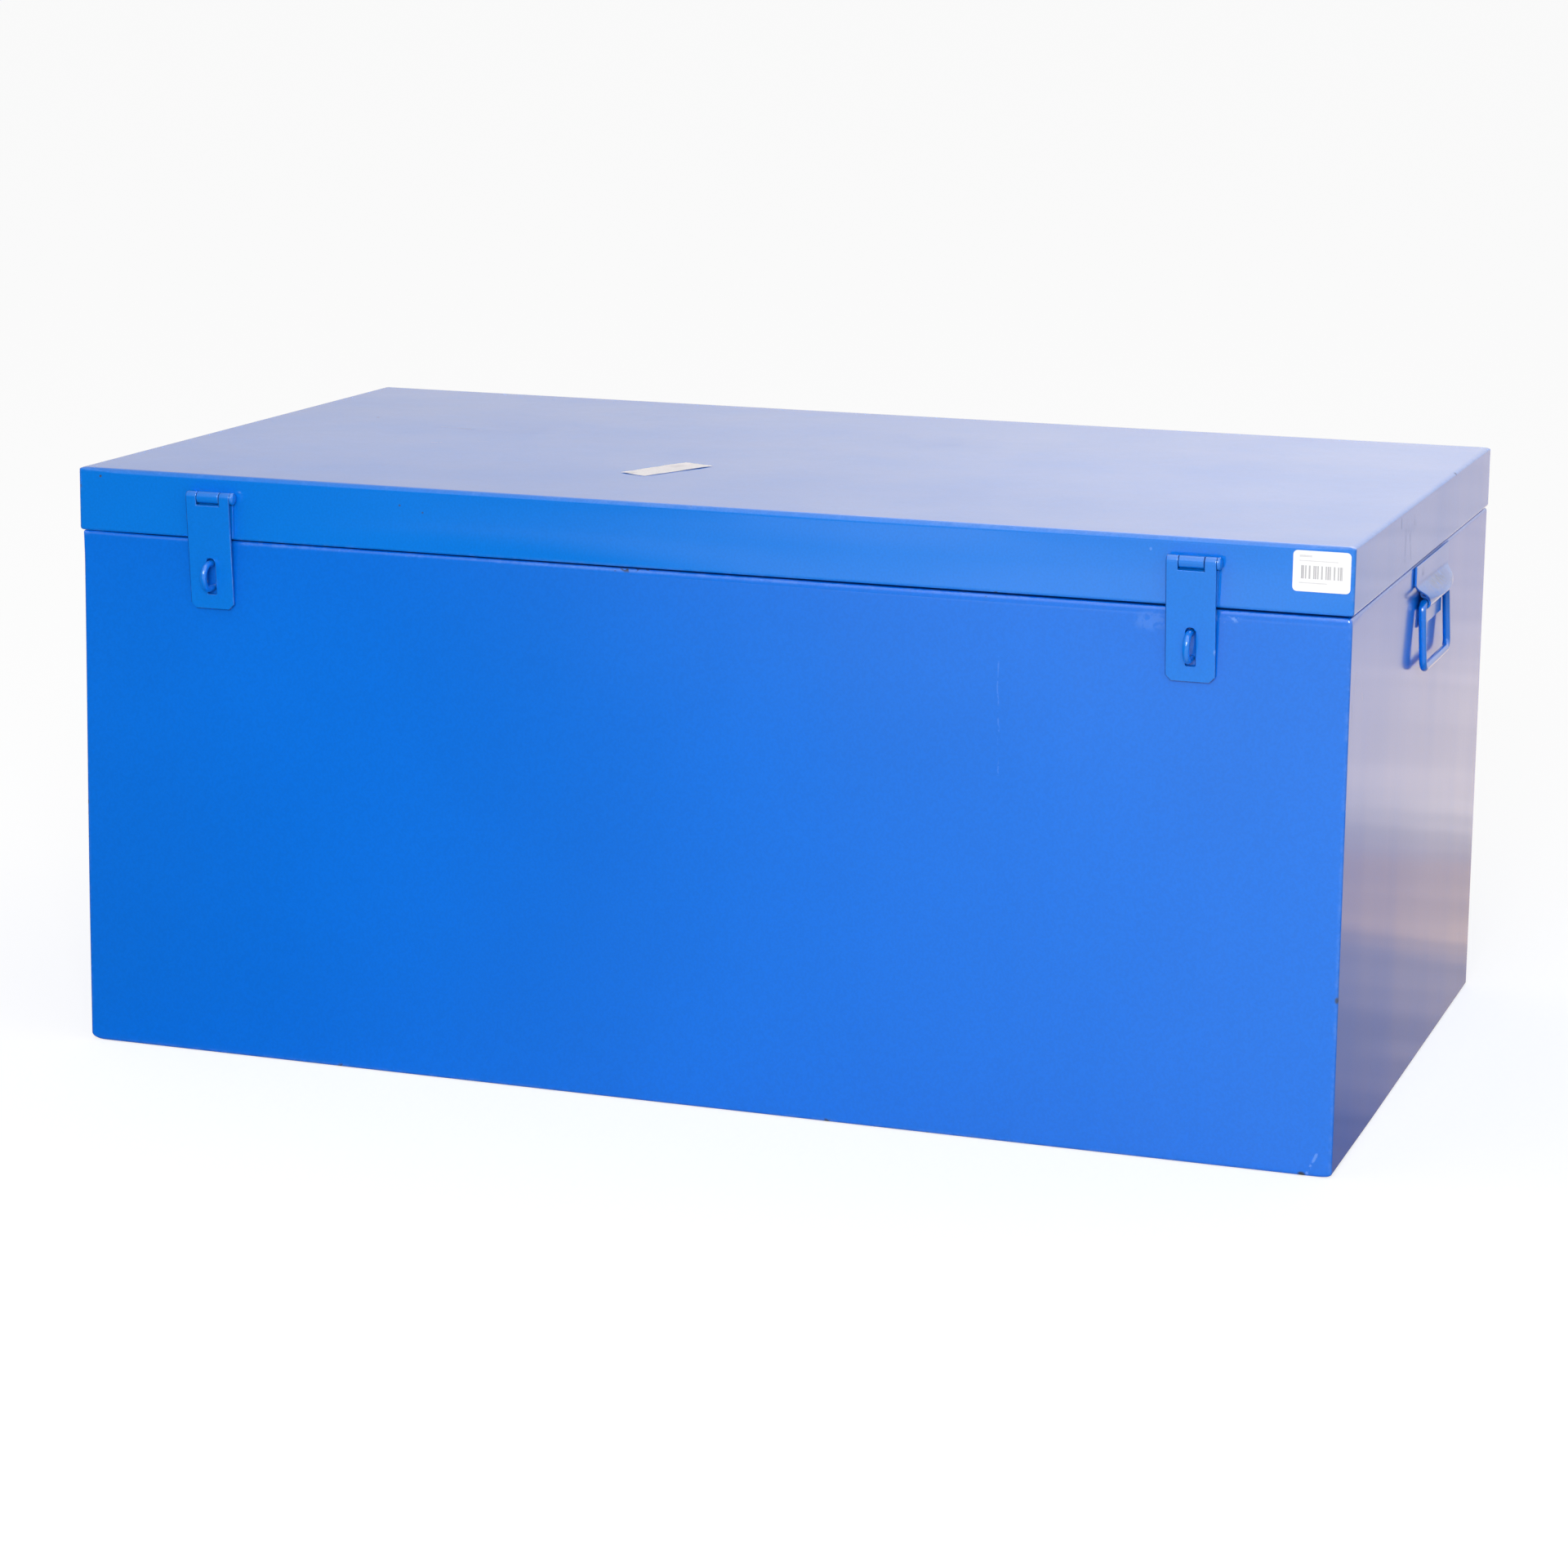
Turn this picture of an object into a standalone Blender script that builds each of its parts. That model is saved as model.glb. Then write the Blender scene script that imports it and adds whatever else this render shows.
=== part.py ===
"""Steel tool chest: a welded sheet body with a hinged lid, two hasps, two drop handles and two lid stays.

Metres, +Z up. The origin is the middle of the underside, the front faces -Y and the lid is shut.
"""
import math

import bmesh
import bpy
from mathutils import Vector
from mathutils.geometry import tessellate_polygon

# Sheet body
BODY_WIDTH = 1.066
BODY_DEPTH = 0.610
BODY_HEIGHT = 0.436
SHEET = 0.0015
CORNER_RADIUS = 0.003
EDGE_RADIUS = 0.0025
LEDGE_WIDTH = 0.014
COLLAR_HEIGHT = 0.016
BOTTOM_FLANGE = 0.018
FLOOR_JOGGLE = 0.004

# Lid
LID_HEIGHT = 0.0536
LID_OVERHANG = 0.001
LID_RETURN = 0.008
LID_OPENING = math.radians(100)
STIFFENER_END_DISTANCE = 0.343
STIFFENER_DEPTH = 0.014
STIFFENER_CROWN = 0.026
STIFFENER_FLANGE = 0.012
STIFFENER_END_GAP = 0.006

# Lid hinges
HINGE_END_DISTANCE = 0.153
HINGE_WIDTH = 0.075
HINGE_LEAF = 0.028
HINGE_SHEET = 0.002
HINGE_PIN_RADIUS = 0.0025
HINGE_KNUCKLES = 5

# Hasps
HASP_END_DISTANCE = 0.122
HASP_WIDTH = 0.039
HASP_SHEET = 0.0025
HASP_PIN_RADIUS = 0.0023
HASP_PIN_DROP = 0.0177
HASP_KNUCKLE = 0.0195
PIN_HEAD_RADIUS = 0.005
PIN_HEAD_HEIGHT = 0.0034
PIN_HEAD_RIM = 0.0011
STRAP_LENGTH = 0.093
STRAP_CHAMFER = 0.0045
SLOT_DROP = 0.0655
SLOT_WIDTH = 0.0078
SLOT_HEIGHT = 0.030
SLOT_ROUNDING = 0.0035
STAPLE_BAR = 0.0055
STAPLE_HEIGHT = 0.026
STAPLE_LIFT = 0.0007
STAPLE_REACH = 0.022

# Drop handles
HANDLE_SETBACK = 0.024
HANDLE_DROP = 0.033
BAIL_ROD = 0.0064
BAIL_WIDTH = 0.110
BAIL_DROP = 0.053
BAIL_BEND = 0.008
BAIL_LEAN = math.radians(3)
BAR_STANDOFF = 0.0042
SADDLE_SHEET = 0.002
SADDLE_LOWER_FLANGE = 0.0136
SADDLE_UPPER_FLANGE = 0.004
VISOR_WIDTH = 0.148
VISOR_LIP_WIDTH = 0.105
VISOR_SHEET = 0.002
VISOR_FLAT = 0.0125
VISOR_FLARE = math.radians(45)
VISOR_SLOPE = 0.006
VISOR_CURL = math.radians(35)
VISOR_BEND = 0.007
VISOR_BOW = 0.005

# Lid stays
STAY_RADIUS = 0.200
STAY_PIVOT_RISE = 0.035
STAY_STUD_RISE = 0.008
STAY_ARM_WIDTH = 0.020
STAY_ARM_SHEET = 0.003
STAY_LUG_WIDTH = 0.018
STAY_LUG_SHEET = 0.003
STAY_SHANK_RADIUS = 0.003
STAY_HEAD_RADIUS = 0.006
STAY_HEAD_HEIGHT = 0.0025
STUD_PAD_HEIGHT = 0.0015

# Clearances
FIT = 0.0003
LID_SEAT = 0.0004
RUNNING = 0.0002
KNUCKLE_GAP = 0.0004
NOTCH_GAP = 0.0008
STRAP_REST = 0.0005
BAIL_PLAY = 0.001
PIN_EASE = 0.0002

# Facets and curls
CURL_TURN = math.radians(285)
BEND_STEP = math.radians(24)
SHARP_ANGLE = math.radians(30)
DOME_TURN = math.radians(80)
DOME_STEPS = 3
CORNER_STEPS = 4
ROD_BEND_STEPS = 6
ROD_BEVEL_STEPS = 2
ROUND_SIDES = 20
SLOT_STEPS = 4
VISOR_BAYS = 8

# Worked out from the sizes above
LID_BOTTOM = BODY_HEIGHT + LID_SEAT
LID_TOP = LID_BOTTOM + LID_HEIGHT
LID_UNDERSIDE = LID_TOP - SHEET
BACK = BODY_DEPTH / 2
FRONT = -BODY_DEPTH / 2
LID_FRONT = FRONT - LID_OVERHANG
HINGE_KNUCKLE_RADIUS = HINGE_PIN_RADIUS + RUNNING + HINGE_SHEET
HINGE_AXIS = Vector((0, BACK + FIT + HINGE_KNUCKLE_RADIUS, BODY_HEIGHT + LID_SEAT / 2))
HASP_KNUCKLE_RADIUS = HASP_PIN_RADIUS + RUNNING + HASP_SHEET
HASP_PIN_Y = LID_FRONT - FIT - HASP_KNUCKLE_RADIUS
HASP_PIN_Z = LID_TOP - HASP_PIN_DROP
HANDLE_BAR_Z = BODY_HEIGHT - HANDLE_DROP
BODY_BOUNDS = (-BODY_WIDTH / 2, BODY_WIDTH / 2, FRONT, BACK)
LID_BOUNDS = (-BODY_WIDTH / 2 - LID_OVERHANG, BODY_WIDTH / 2 + LID_OVERHANG, LID_FRONT, BACK)

PAINT = (0.010, 0.160, 0.720, 1.0)
PAINT_ROUGHNESS = 0.22
ZINC = (0.560, 0.570, 0.580, 1.0)
ZINC_ROUGHNESS = 0.35


# Scene and material helpers

def clear_scene():
    for item in list(bpy.data.objects):
        bpy.data.objects.remove(item, do_unlink=True)


def finish_material(name, colour, roughness, metallic):
    material = bpy.data.materials.new(name)
    material.use_nodes = True
    shader = material.node_tree.nodes["Principled BSDF"]
    shader.inputs["Base Color"].default_value = colour
    shader.inputs["Roughness"].default_value = roughness
    shader.inputs["Metallic"].default_value = metallic
    return material


def painted(name):
    return finish_material(name, PAINT, PAINT_ROUGHNESS, 0.0)


def plated(name):
    return finish_material(name, ZINC, ZINC_ROUGHNESS, 1.0)


def pivot(name, place):
    """An empty on a joint's axis, which its moving pieces hang from."""
    empty = bpy.data.objects.new(name, None)
    empty.location = place
    bpy.context.collection.objects.link(empty)
    return empty


def link_object(name, data, material, origin, parent):
    piece = bpy.data.objects.new(name, data)
    data.materials.append(material)
    piece.location = origin - parent.location if parent else origin
    piece.parent = parent
    bpy.context.collection.objects.link(piece)
    return piece


def add_piece(name, shape, material, origin=Vector((0, 0, 0)), parent=None):
    """Turn a shape drawn in place into a named object whose origin is given."""
    bmesh.ops.recalc_face_normals(shape, faces=shape.faces)
    bmesh.ops.translate(shape, vec=-origin, verts=shape.verts)
    mesh = bpy.data.meshes.new(name)
    shape.to_mesh(mesh)
    shape.free()
    mesh.shade_smooth()
    mesh.set_sharp_from_angle(angle=SHARP_ANGLE)
    return link_object(name, mesh, material, origin, parent)


# Bent sheet: a middle line of straight runs and turns, given thickness

def trace(start, heading, moves):
    """Points and headings along a flat line. A move is (length,) or (radius, angle), left positive."""
    u, v = start
    line = [(u, v, heading)]
    for move in moves:
        if len(move) == 1:
            u += move[0] * math.cos(heading)
            v += move[0] * math.sin(heading)
            line.append((u, v, heading))
            continue
        radius, angle = move
        side = math.copysign(1, angle)
        count = max(2, math.ceil(abs(angle) / BEND_STEP))
        centre_u = u - side * radius * math.sin(heading)
        centre_v = v + side * radius * math.cos(heading)
        for step in range(1, count + 1):
            turned = heading + angle * step / count
            u = centre_u + side * radius * math.sin(turned)
            v = centre_v - side * radius * math.cos(turned)
            line.append((u, v, turned))
        heading += angle
    return line


def both_sides(line, thickness):
    """The left and right edges of a sheet along its middle line."""
    half = thickness / 2
    left = [(u - half * math.sin(h), v + half * math.cos(h)) for u, v, h in line]
    right = [(u + half * math.sin(h), v - half * math.cos(h)) for u, v, h in line]
    return left, right


def bent_strip(line, thickness, stations, place, holds=None):
    """A bent strip as wide as its stations, with metal where holds(run, bay) says so, or all over."""
    edges = both_sides(line, thickness)
    faces = {}

    def toggle(corners):
        key = frozenset(corners)
        if key in faces:
            del faces[key]
        else:
            faces[key] = corners

    for run in range(len(line) - 1):
        for bay in range(len(stations) - 1):
            if holds and not holds(run, bay):
                continue
            cell = {
                (i, side, j): (run + i, side, bay + j)
                for i in (0, 1) for side in (0, 1) for j in (0, 1)
            }
            for fixed in range(3):
                for end in (0, 1):
                    ring = []
                    for a, b in ((0, 0), (0, 1), (1, 1), (1, 0)):
                        key = [a, b]
                        key.insert(fixed, end)
                        ring.append(cell[tuple(key)])
                    toggle(tuple(ring))

    shape = bmesh.new()
    made = {}
    for corners in faces.values():
        for run, side, bay in corners:
            if (run, side, bay) not in made:
                u, v = edges[side][run]
                made[run, side, bay] = shape.verts.new(place(u, v, stations[bay]))
        shape.faces.new([made[corner] for corner in corners])
    bmesh.ops.recalc_face_normals(shape, faces=shape.faces)
    return shape


# Shells: a section carried round a rectangle with rounded corners

def rounded_loop(bounds, inset, height):
    x0, x1, y0, y1 = bounds
    radius = max(CORNER_RADIUS - inset, SHEET / 2)
    reach = inset + radius
    centres = (
        (x1 - reach, y0 + reach),
        (x1 - reach, y1 - reach),
        (x0 + reach, y1 - reach),
        (x0 + reach, y0 + reach),
    )
    loop = []
    for quarter, (x, y) in enumerate(centres):
        for step in range(CORNER_STEPS + 1):
            angle = math.radians(90) * (quarter - 1 + step / CORNER_STEPS)
            loop.append(Vector((x + radius * math.cos(angle), y + radius * math.sin(angle), height)))
    return loop


def swept_shell(section, bounds, closed):
    """Carry a section of (inset, height) points round the bounds, capped at both ends unless it is closed."""
    shape = bmesh.new()
    loops = [[shape.verts.new(point) for point in rounded_loop(bounds, *place)] for place in section]
    pairs = list(zip(loops, loops[1:]))
    if closed:
        pairs.append((loops[-1], loops[0]))
    else:
        shape.faces.new(loops[0])
        shape.faces.new(loops[-1])
    for first, second in pairs:
        for here in range(len(first)):
            after = (here + 1) % len(first)
            shape.faces.new((first[here], first[after], second[after], second[here]))
    return shape


# Plates, turned pieces and rods

def arc_points(centre, radius, start, end, steps):
    return [
        (
            centre[0] + radius * math.cos(start + (end - start) * step / steps),
            centre[1] + radius * math.sin(start + (end - start) * step / steps),
        )
        for step in range(steps + 1)
    ]


def circle_points(centre, radius):
    return arc_points(centre, radius, 0, math.tau, ROUND_SIDES)[:-1]


def stadium_points(start, end, radius):
    """A slot's outline along u, from one round end's centre to the other's."""
    half = ROUND_SIDES // 2
    quarter = math.pi / 2
    return (
        arc_points((end, 0), radius, -quarter, quarter, half)
        + arc_points((start, 0), radius, quarter, 3 * quarter, half)
    )


def flat_plate(outlines, near, far, place):
    """A plate between two planes. The first outline is its edge, and the others are holes."""
    shape = bmesh.new()
    flat = [[Vector((u, v, 0)) for u, v in outline] for outline in outlines]
    triangles = tessellate_polygon(flat)
    points = [point for outline in flat for point in outline]
    layers = [[shape.verts.new(place(point.x, point.y, w)) for point in points] for w in (near, far)]
    for layer in layers:
        for corners in triangles:
            shape.faces.new([layer[corner] for corner in corners])
    first = 0
    for outline in outlines:
        count = len(outline)
        for here in range(count):
            a = first + here
            b = first + (here + 1) % count
            shape.faces.new((layers[0][a], layers[0][b], layers[1][b], layers[1][a]))
        first += count
    return shape


def turned_piece(profile, place):
    """A solid of revolution. The profile is (radius, distance along the axis), from end to end."""
    shape = bmesh.new()
    rings = []
    for radius, along in profile:
        ring = []
        for u, v in circle_points((0, 0), radius):
            ring.append(shape.verts.new(place(u, v, along)))
        rings.append(ring)
    shape.faces.new(rings[0])
    shape.faces.new(rings[-1])
    for first, second in zip(rings, rings[1:]):
        for here in range(ROUND_SIDES):
            after = (here + 1) % ROUND_SIDES
            shape.faces.new((first[here], first[after], second[after], second[here]))
    return shape


def round_rod(name, points, diameter, material, closed, origin, parent=None):
    """A round bar bent along points given from its origin."""
    curve = bpy.data.curves.new(name, "CURVE")
    curve.dimensions = "3D"
    curve.bevel_depth = diameter / 2
    curve.bevel_resolution = ROD_BEVEL_STEPS
    curve.render_resolution_u = 0
    curve.use_fill_caps = True
    spline = curve.splines.new("POLY")
    spline.points.add(len(points) - 1)
    for spot, point in zip(spline.points, points):
        spot.co = (*point, 1)
    spline.use_cyclic_u = closed
    spline.use_smooth = True
    return link_object(name, curve, material, origin, parent)


# Sheet body

def make_body_walls():
    """Four folded walls: a turned-in flange below, and a ledge with a raised collar at the rim."""
    bend = EDGE_RADIUS - SHEET / 2
    line = trace(
        (BOTTOM_FLANGE, SHEET / 2),
        math.pi,
        [
            (BOTTOM_FLANGE - EDGE_RADIUS,),
            (bend, -math.pi / 2),
            (BODY_HEIGHT - 2 * EDGE_RADIUS,),
            (bend, -math.pi / 2),
            (LEDGE_WIDTH + SHEET / 2 - EDGE_RADIUS - bend,),
            (bend, math.pi / 2),
            (COLLAR_HEIGHT + SHEET / 2 - bend,),
        ],
    )
    left, right = both_sides(line, SHEET)
    add_piece("body_walls", swept_shell(left + right[::-1], BODY_BOUNDS, True), painted("body_walls"))


def make_floor_panel():
    """The floor, level with the flange's underside, with its edge joggled up to lap over the flange."""
    slope = 2 * math.atan2(SHEET + FIT, FLOOR_JOGGLE)
    bend = FLOOR_JOGGLE / (2 * math.sin(slope))
    joggle_end = BOTTOM_FLANGE + FIT
    line = trace(
        (joggle_end + 2 * FLOOR_JOGGLE, SHEET / 2),
        math.pi,
        [
            (FLOOR_JOGGLE,),
            (bend, -slope),
            (bend, slope),
            (joggle_end - EDGE_RADIUS - FIT,),
        ],
    )
    left, right = both_sides(line, SHEET)
    add_piece("floor_panel", swept_shell(left + right[::-1], BODY_BOUNDS, False), painted("floor_panel"))


# Lid

def make_lid_pan(lid):
    """A folded pan: flat top, four skirts and a turned-in return that rests on the body's ledge."""
    top_bend = CORNER_RADIUS - SHEET / 2
    low_bend = EDGE_RADIUS - SHEET / 2
    line = trace(
        (2 * CORNER_RADIUS, LID_TOP - SHEET / 2),
        math.pi,
        [
            (CORNER_RADIUS,),
            (top_bend, math.pi / 2),
            (LID_HEIGHT - CORNER_RADIUS - EDGE_RADIUS,),
            (low_bend, math.pi / 2),
            (LID_RETURN - EDGE_RADIUS,),
        ],
    )
    left, right = both_sides(line, SHEET)
    shape = swept_shell(right + left[::-1], LID_BOUNDS, False)
    add_piece("lid_pan", shape, painted("lid_pan"), HINGE_AXIS, lid)


def make_lid_stiffener(name, x, lid):
    """A hat section welded across the underside of the lid, from front to back."""
    bend = EDGE_RADIUS - SHEET / 2
    side = STIFFENER_DEPTH - SHEET - 2 * bend
    half_width = STIFFENER_CROWN / 2 + bend + STIFFENER_FLANGE
    line = trace(
        (x - half_width, LID_UNDERSIDE - FIT - SHEET / 2),
        0,
        [
            (STIFFENER_FLANGE,),
            (bend, -math.pi / 2),
            (side,),
            (bend, math.pi / 2),
            (STIFFENER_CROWN - 2 * bend,),
            (bend, math.pi / 2),
            (side,),
            (bend, -math.pi / 2),
            (STIFFENER_FLANGE,),
        ],
    )
    stations = (LID_FRONT + SHEET + STIFFENER_END_GAP, BACK - SHEET - STIFFENER_END_GAP)
    shape = bent_strip(line, SHEET, stations, lambda u, v, w: Vector((u, w, v)))
    add_piece(name, shape, painted(name), HINGE_AXIS, lid)


# Lid hinges

def hinge_stations(x, own_knuckles):
    """Where the knuckles start and stop along the pin, with the gap beside each taken from the leaf's own."""
    pitch = HINGE_WIDTH / HINGE_KNUCKLES
    start = x - HINGE_WIDTH / 2
    slack = KNUCKLE_GAP / 2
    stations = [start]
    for joint in range(1, HINGE_KNUCKLES):
        grows = (joint - 1) in own_knuckles
        stations.append(start + joint * pitch + (-slack if grows else slack))
    stations.append(start + HINGE_WIDTH)
    return stations


def make_hinge_leaf(name, x, own_knuckles, upward, parent):
    """A leaf flat on the back, with its knuckles curled round the pin."""
    middle = HINGE_KNUCKLE_RADIUS - HINGE_SHEET / 2
    neck = HINGE_KNUCKLE_RADIUS + NOTCH_GAP
    line = trace(
        (-middle, -HINGE_LEAF),
        math.pi / 2,
        [(HINGE_LEAF - neck,), (neck,), (middle, -CURL_TURN)],
    )

    def place(u, v, w):
        return Vector((w, HINGE_AXIS.y + u, HINGE_AXIS.z + (-v if upward else v)))

    def holds(run, bay):
        return run == 0 or bay in own_knuckles

    shape = bent_strip(line, HINGE_SHEET, hinge_stations(x, own_knuckles), place, holds)
    add_piece(name, shape, painted(name), Vector((x, HINGE_AXIS.y, HINGE_AXIS.z)), parent)


def make_hinge(word, x, lid):
    body_knuckles = range(0, HINGE_KNUCKLES, 2)
    lid_knuckles = range(1, HINGE_KNUCKLES, 2)
    make_hinge_leaf(f"hinge_body_leaf_{word}", x, body_knuckles, False, None)
    make_hinge_leaf(f"hinge_lid_leaf_{word}", x, lid_knuckles, True, lid)
    half = HINGE_WIDTH / 2
    profile = [
        (HINGE_PIN_RADIUS - PIN_EASE, -half),
        (HINGE_PIN_RADIUS, -half + PIN_EASE),
        (HINGE_PIN_RADIUS, half - PIN_EASE),
        (HINGE_PIN_RADIUS - PIN_EASE, half),
    ]
    centre = Vector((x, HINGE_AXIS.y, HINGE_AXIS.z))
    shape = turned_piece(profile, lambda u, v, w: centre + Vector((w, u, v)))
    add_piece(f"hinge_pin_{word}", shape, painted(f"hinge_pin_{word}"), centre)


# Hasps

def strap_lean():
    """How far a shut strap tips in from its pin until its lower edge lies by the body."""
    inner = HASP_KNUCKLE_RADIUS - HASP_SHEET
    body_face = HASP_PIN_Y - FRONT
    reach = math.hypot(inner, STRAP_LENGTH)
    return math.acos((body_face + STRAP_REST) / reach) - math.atan2(STRAP_LENGTH, inner)


def make_hasp_base(name, x, lid):
    """The fixed leaf: flat on the lid's front, with one knuckle in the middle of its top edge."""
    middle = HASP_KNUCKLE_RADIUS - HASP_SHEET / 2
    neck = HASP_KNUCKLE_RADIUS + NOTCH_GAP
    drop = HASP_PIN_Z - LID_BOTTOM - EDGE_RADIUS
    line = trace(
        (-middle, -drop),
        math.pi / 2,
        [(drop - neck,), (neck,), (middle, -CURL_TURN)],
    )
    stations = (-HASP_WIDTH / 2, -HASP_KNUCKLE / 2, HASP_KNUCKLE / 2, HASP_WIDTH / 2)

    def place(u, v, w):
        return Vector((x + w, HASP_PIN_Y - u, HASP_PIN_Z + v))

    shape = bent_strip(line, HASP_SHEET, stations, place, lambda run, bay: run == 0 or bay == 1)
    add_piece(name, shape, painted(name), Vector((x, HASP_PIN_Y, HASP_PIN_Z)), lid)


def make_hasp_strap(name, x, lid):
    """The swinging strap: two knuckles beside the base's one, a slot for the staple and clipped corners."""
    middle = HASP_KNUCKLE_RADIUS - HASP_SHEET / 2
    neck = HASP_KNUCKLE_RADIUS + NOTCH_GAP
    slot_low = SLOT_DROP + SLOT_HEIGHT / 2
    slot_high = SLOT_DROP - SLOT_HEIGHT / 2
    line = trace(
        (middle, -STRAP_LENGTH),
        math.pi / 2,
        [(STRAP_LENGTH - slot_low,), (SLOT_HEIGHT,), (slot_high - neck,), (neck,), (middle, CURL_TURN)],
    )
    notch = HASP_KNUCKLE / 2 + KNUCKLE_GAP
    edge = HASP_WIDTH / 2
    stations = (-edge, -notch, -SLOT_WIDTH / 2, SLOT_WIDTH / 2, notch, edge)
    slot_run, slot_bay, neck_run = 1, 2, 3
    lean = strap_lean()
    pin = Vector((x, HASP_PIN_Y, HASP_PIN_Z))

    def place(u, v, w):
        out = u * math.cos(lean) + v * math.sin(lean)
        up = v * math.cos(lean) - u * math.sin(lean)
        return pin + Vector((w, -out, up))

    def holds(run, bay):
        if run == slot_run:
            return bay != slot_bay
        return run < neck_run or bay in (0, len(stations) - 2)

    shape = bent_strip(line, HASP_SHEET, stations, place, holds)
    round_slot_top(shape, x)
    clip_lower_corners(shape, x)
    add_piece(name, shape, painted(name), pin, lid)


def through_edges(shape, x, offset):
    """The edges that run through the sheet this far to either side of x, from the lowest up."""
    side = {vert for vert in shape.verts if abs(abs(vert.co.x - x) - offset) < FIT}
    edges = [edge for edge in shape.edges if all(end in side for end in edge.verts)]
    through = [edge for edge in edges if abs(edge.calc_length() - HASP_SHEET) < FIT]
    return sorted(through, key=lambda edge: sum(end.co.z for end in edge.verts))


def round_slot_top(shape, x):
    """Round the slot's two upper corners to near a half circle."""
    seams = through_edges(shape, x, SLOT_WIDTH / 2)
    upper = [edge for edge in seams if edge.calc_face_angle() > SHARP_ANGLE][2:]
    bmesh.ops.bevel(
        shape, geom=upper, offset=SLOT_ROUNDING, segments=SLOT_STEPS, profile=0.5, affect="EDGES",
        material=-1,
    )


def clip_lower_corners(shape, x):
    """Chamfer the two corner edges at the strap's lower end."""
    lower = through_edges(shape, x, HASP_WIDTH / 2)[:2]
    bmesh.ops.bevel(
        shape, geom=lower, offset=STRAP_CHAMFER, segments=1, profile=0.5, affect="EDGES", material=-1,
    )


def make_hasp_pin(name, x, lid):
    """A rivet pin with a domed head outside the strap's right edge."""
    half = HASP_WIDTH / 2
    head = half + FIT
    rim = head + PIN_HEAD_RIM
    dome = PIN_HEAD_HEIGHT - PIN_HEAD_RIM
    profile = [
        (HASP_PIN_RADIUS - PIN_EASE, -half),
        (HASP_PIN_RADIUS, -half + PIN_EASE),
        (HASP_PIN_RADIUS, head),
        (PIN_HEAD_RADIUS, head),
    ]
    for step in range(DOME_STEPS + 1):
        turn = DOME_TURN * step / DOME_STEPS
        profile.append((PIN_HEAD_RADIUS * math.cos(turn), rim + dome * math.sin(turn)))
    pin = Vector((x, HASP_PIN_Y, HASP_PIN_Z))
    shape = turned_piece(profile, lambda u, v, w: pin + Vector((w, u, v)))
    add_piece(name, shape, painted(name), pin, lid)


def make_hasp_staple(name, x):
    """An upright loop of round bar on the body's front, with a half-round end, which takes the padlock."""
    lean = strap_lean()
    middle = HASP_KNUCKLE_RADIUS - HASP_SHEET / 2
    slot_z = HASP_PIN_Z - SLOT_DROP * math.cos(lean) - middle * math.sin(lean)
    half = (STAPLE_HEIGHT - STAPLE_BAR) / 2
    legs = STAPLE_REACH - STAPLE_BAR / 2 - half
    turn = math.pi / 2
    outline = [(FIT, half)]
    outline += arc_points((legs, 0), half, turn, -turn, 2 * ROD_BEND_STEPS)
    outline += [(FIT, -half)]
    points = [Vector((0, -out, up)) for out, up in outline]
    root = Vector((x, FRONT, slot_z + STAPLE_LIFT))
    round_rod(name, points, STAPLE_BAR, painted(name), False, root)


def make_hasp(word, x, lid):
    make_hasp_base(f"hasp_base_{word}", x, lid)
    make_hasp_pin(f"hasp_pin_{word}", x, lid)
    make_hasp_strap(f"hasp_strap_{word}", x, lid)
    make_hasp_staple(f"hasp_staple_{word}", x)


# Drop handles

def make_handle_bail(name, side):
    """A ring of round bar that hangs from its upper bar, and stays a little off the wall."""
    half = BAIL_WIDTH / 2 - BAIL_BEND
    low = BAIL_BEND - BAIL_DROP
    high = -BAIL_BEND
    quarter = math.pi / 2
    outline = []
    for turn, centre in enumerate(((half, high), (-half, high), (-half, low), (half, low))):
        outline += arc_points(centre, BAIL_BEND, turn * quarter, (turn + 1) * quarter, ROD_BEND_STEPS)
    out = -side * math.sin(BAIL_LEAN)
    points = [Vector((out * up, along, up * math.cos(BAIL_LEAN))) for along, up in outline]
    bar = Vector((side * (BODY_WIDTH / 2 + BAR_STANDOFF), HANDLE_SETBACK, HANDLE_BAR_Z))
    round_rod(name, points, BAIL_ROD, painted(name), True, bar)


def make_handle_saddle(name, side):
    """A strap welded to the end wall above and below the bail's bar, and bowed out over it."""
    inner = FIT + SADDLE_SHEET / 2
    round_bar = BAIL_ROD / 2 + FIT + SADDLE_SHEET / 2
    root = BAR_STANDOFF - inner
    start = HANDLE_BAR_Z - round_bar - root - SADDLE_LOWER_FLANGE
    line = trace(
        (inner, start),
        math.pi / 2,
        [
            (SADDLE_LOWER_FLANGE,),
            (root, -math.pi / 2),
            (round_bar, math.pi),
            (root, -math.pi / 2),
            (SADDLE_UPPER_FLANGE,),
        ],
    )
    half = BAIL_WIDTH / 2 - BAIL_BEND - BAIL_PLAY

    def place(u, v, w):
        return Vector((side * (BODY_WIDTH / 2 + u), HANDLE_SETBACK + w, v))

    shape = bent_strip(line, SADDLE_SHEET, (-half, half), place)
    add_piece(name, shape, painted(name))


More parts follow.
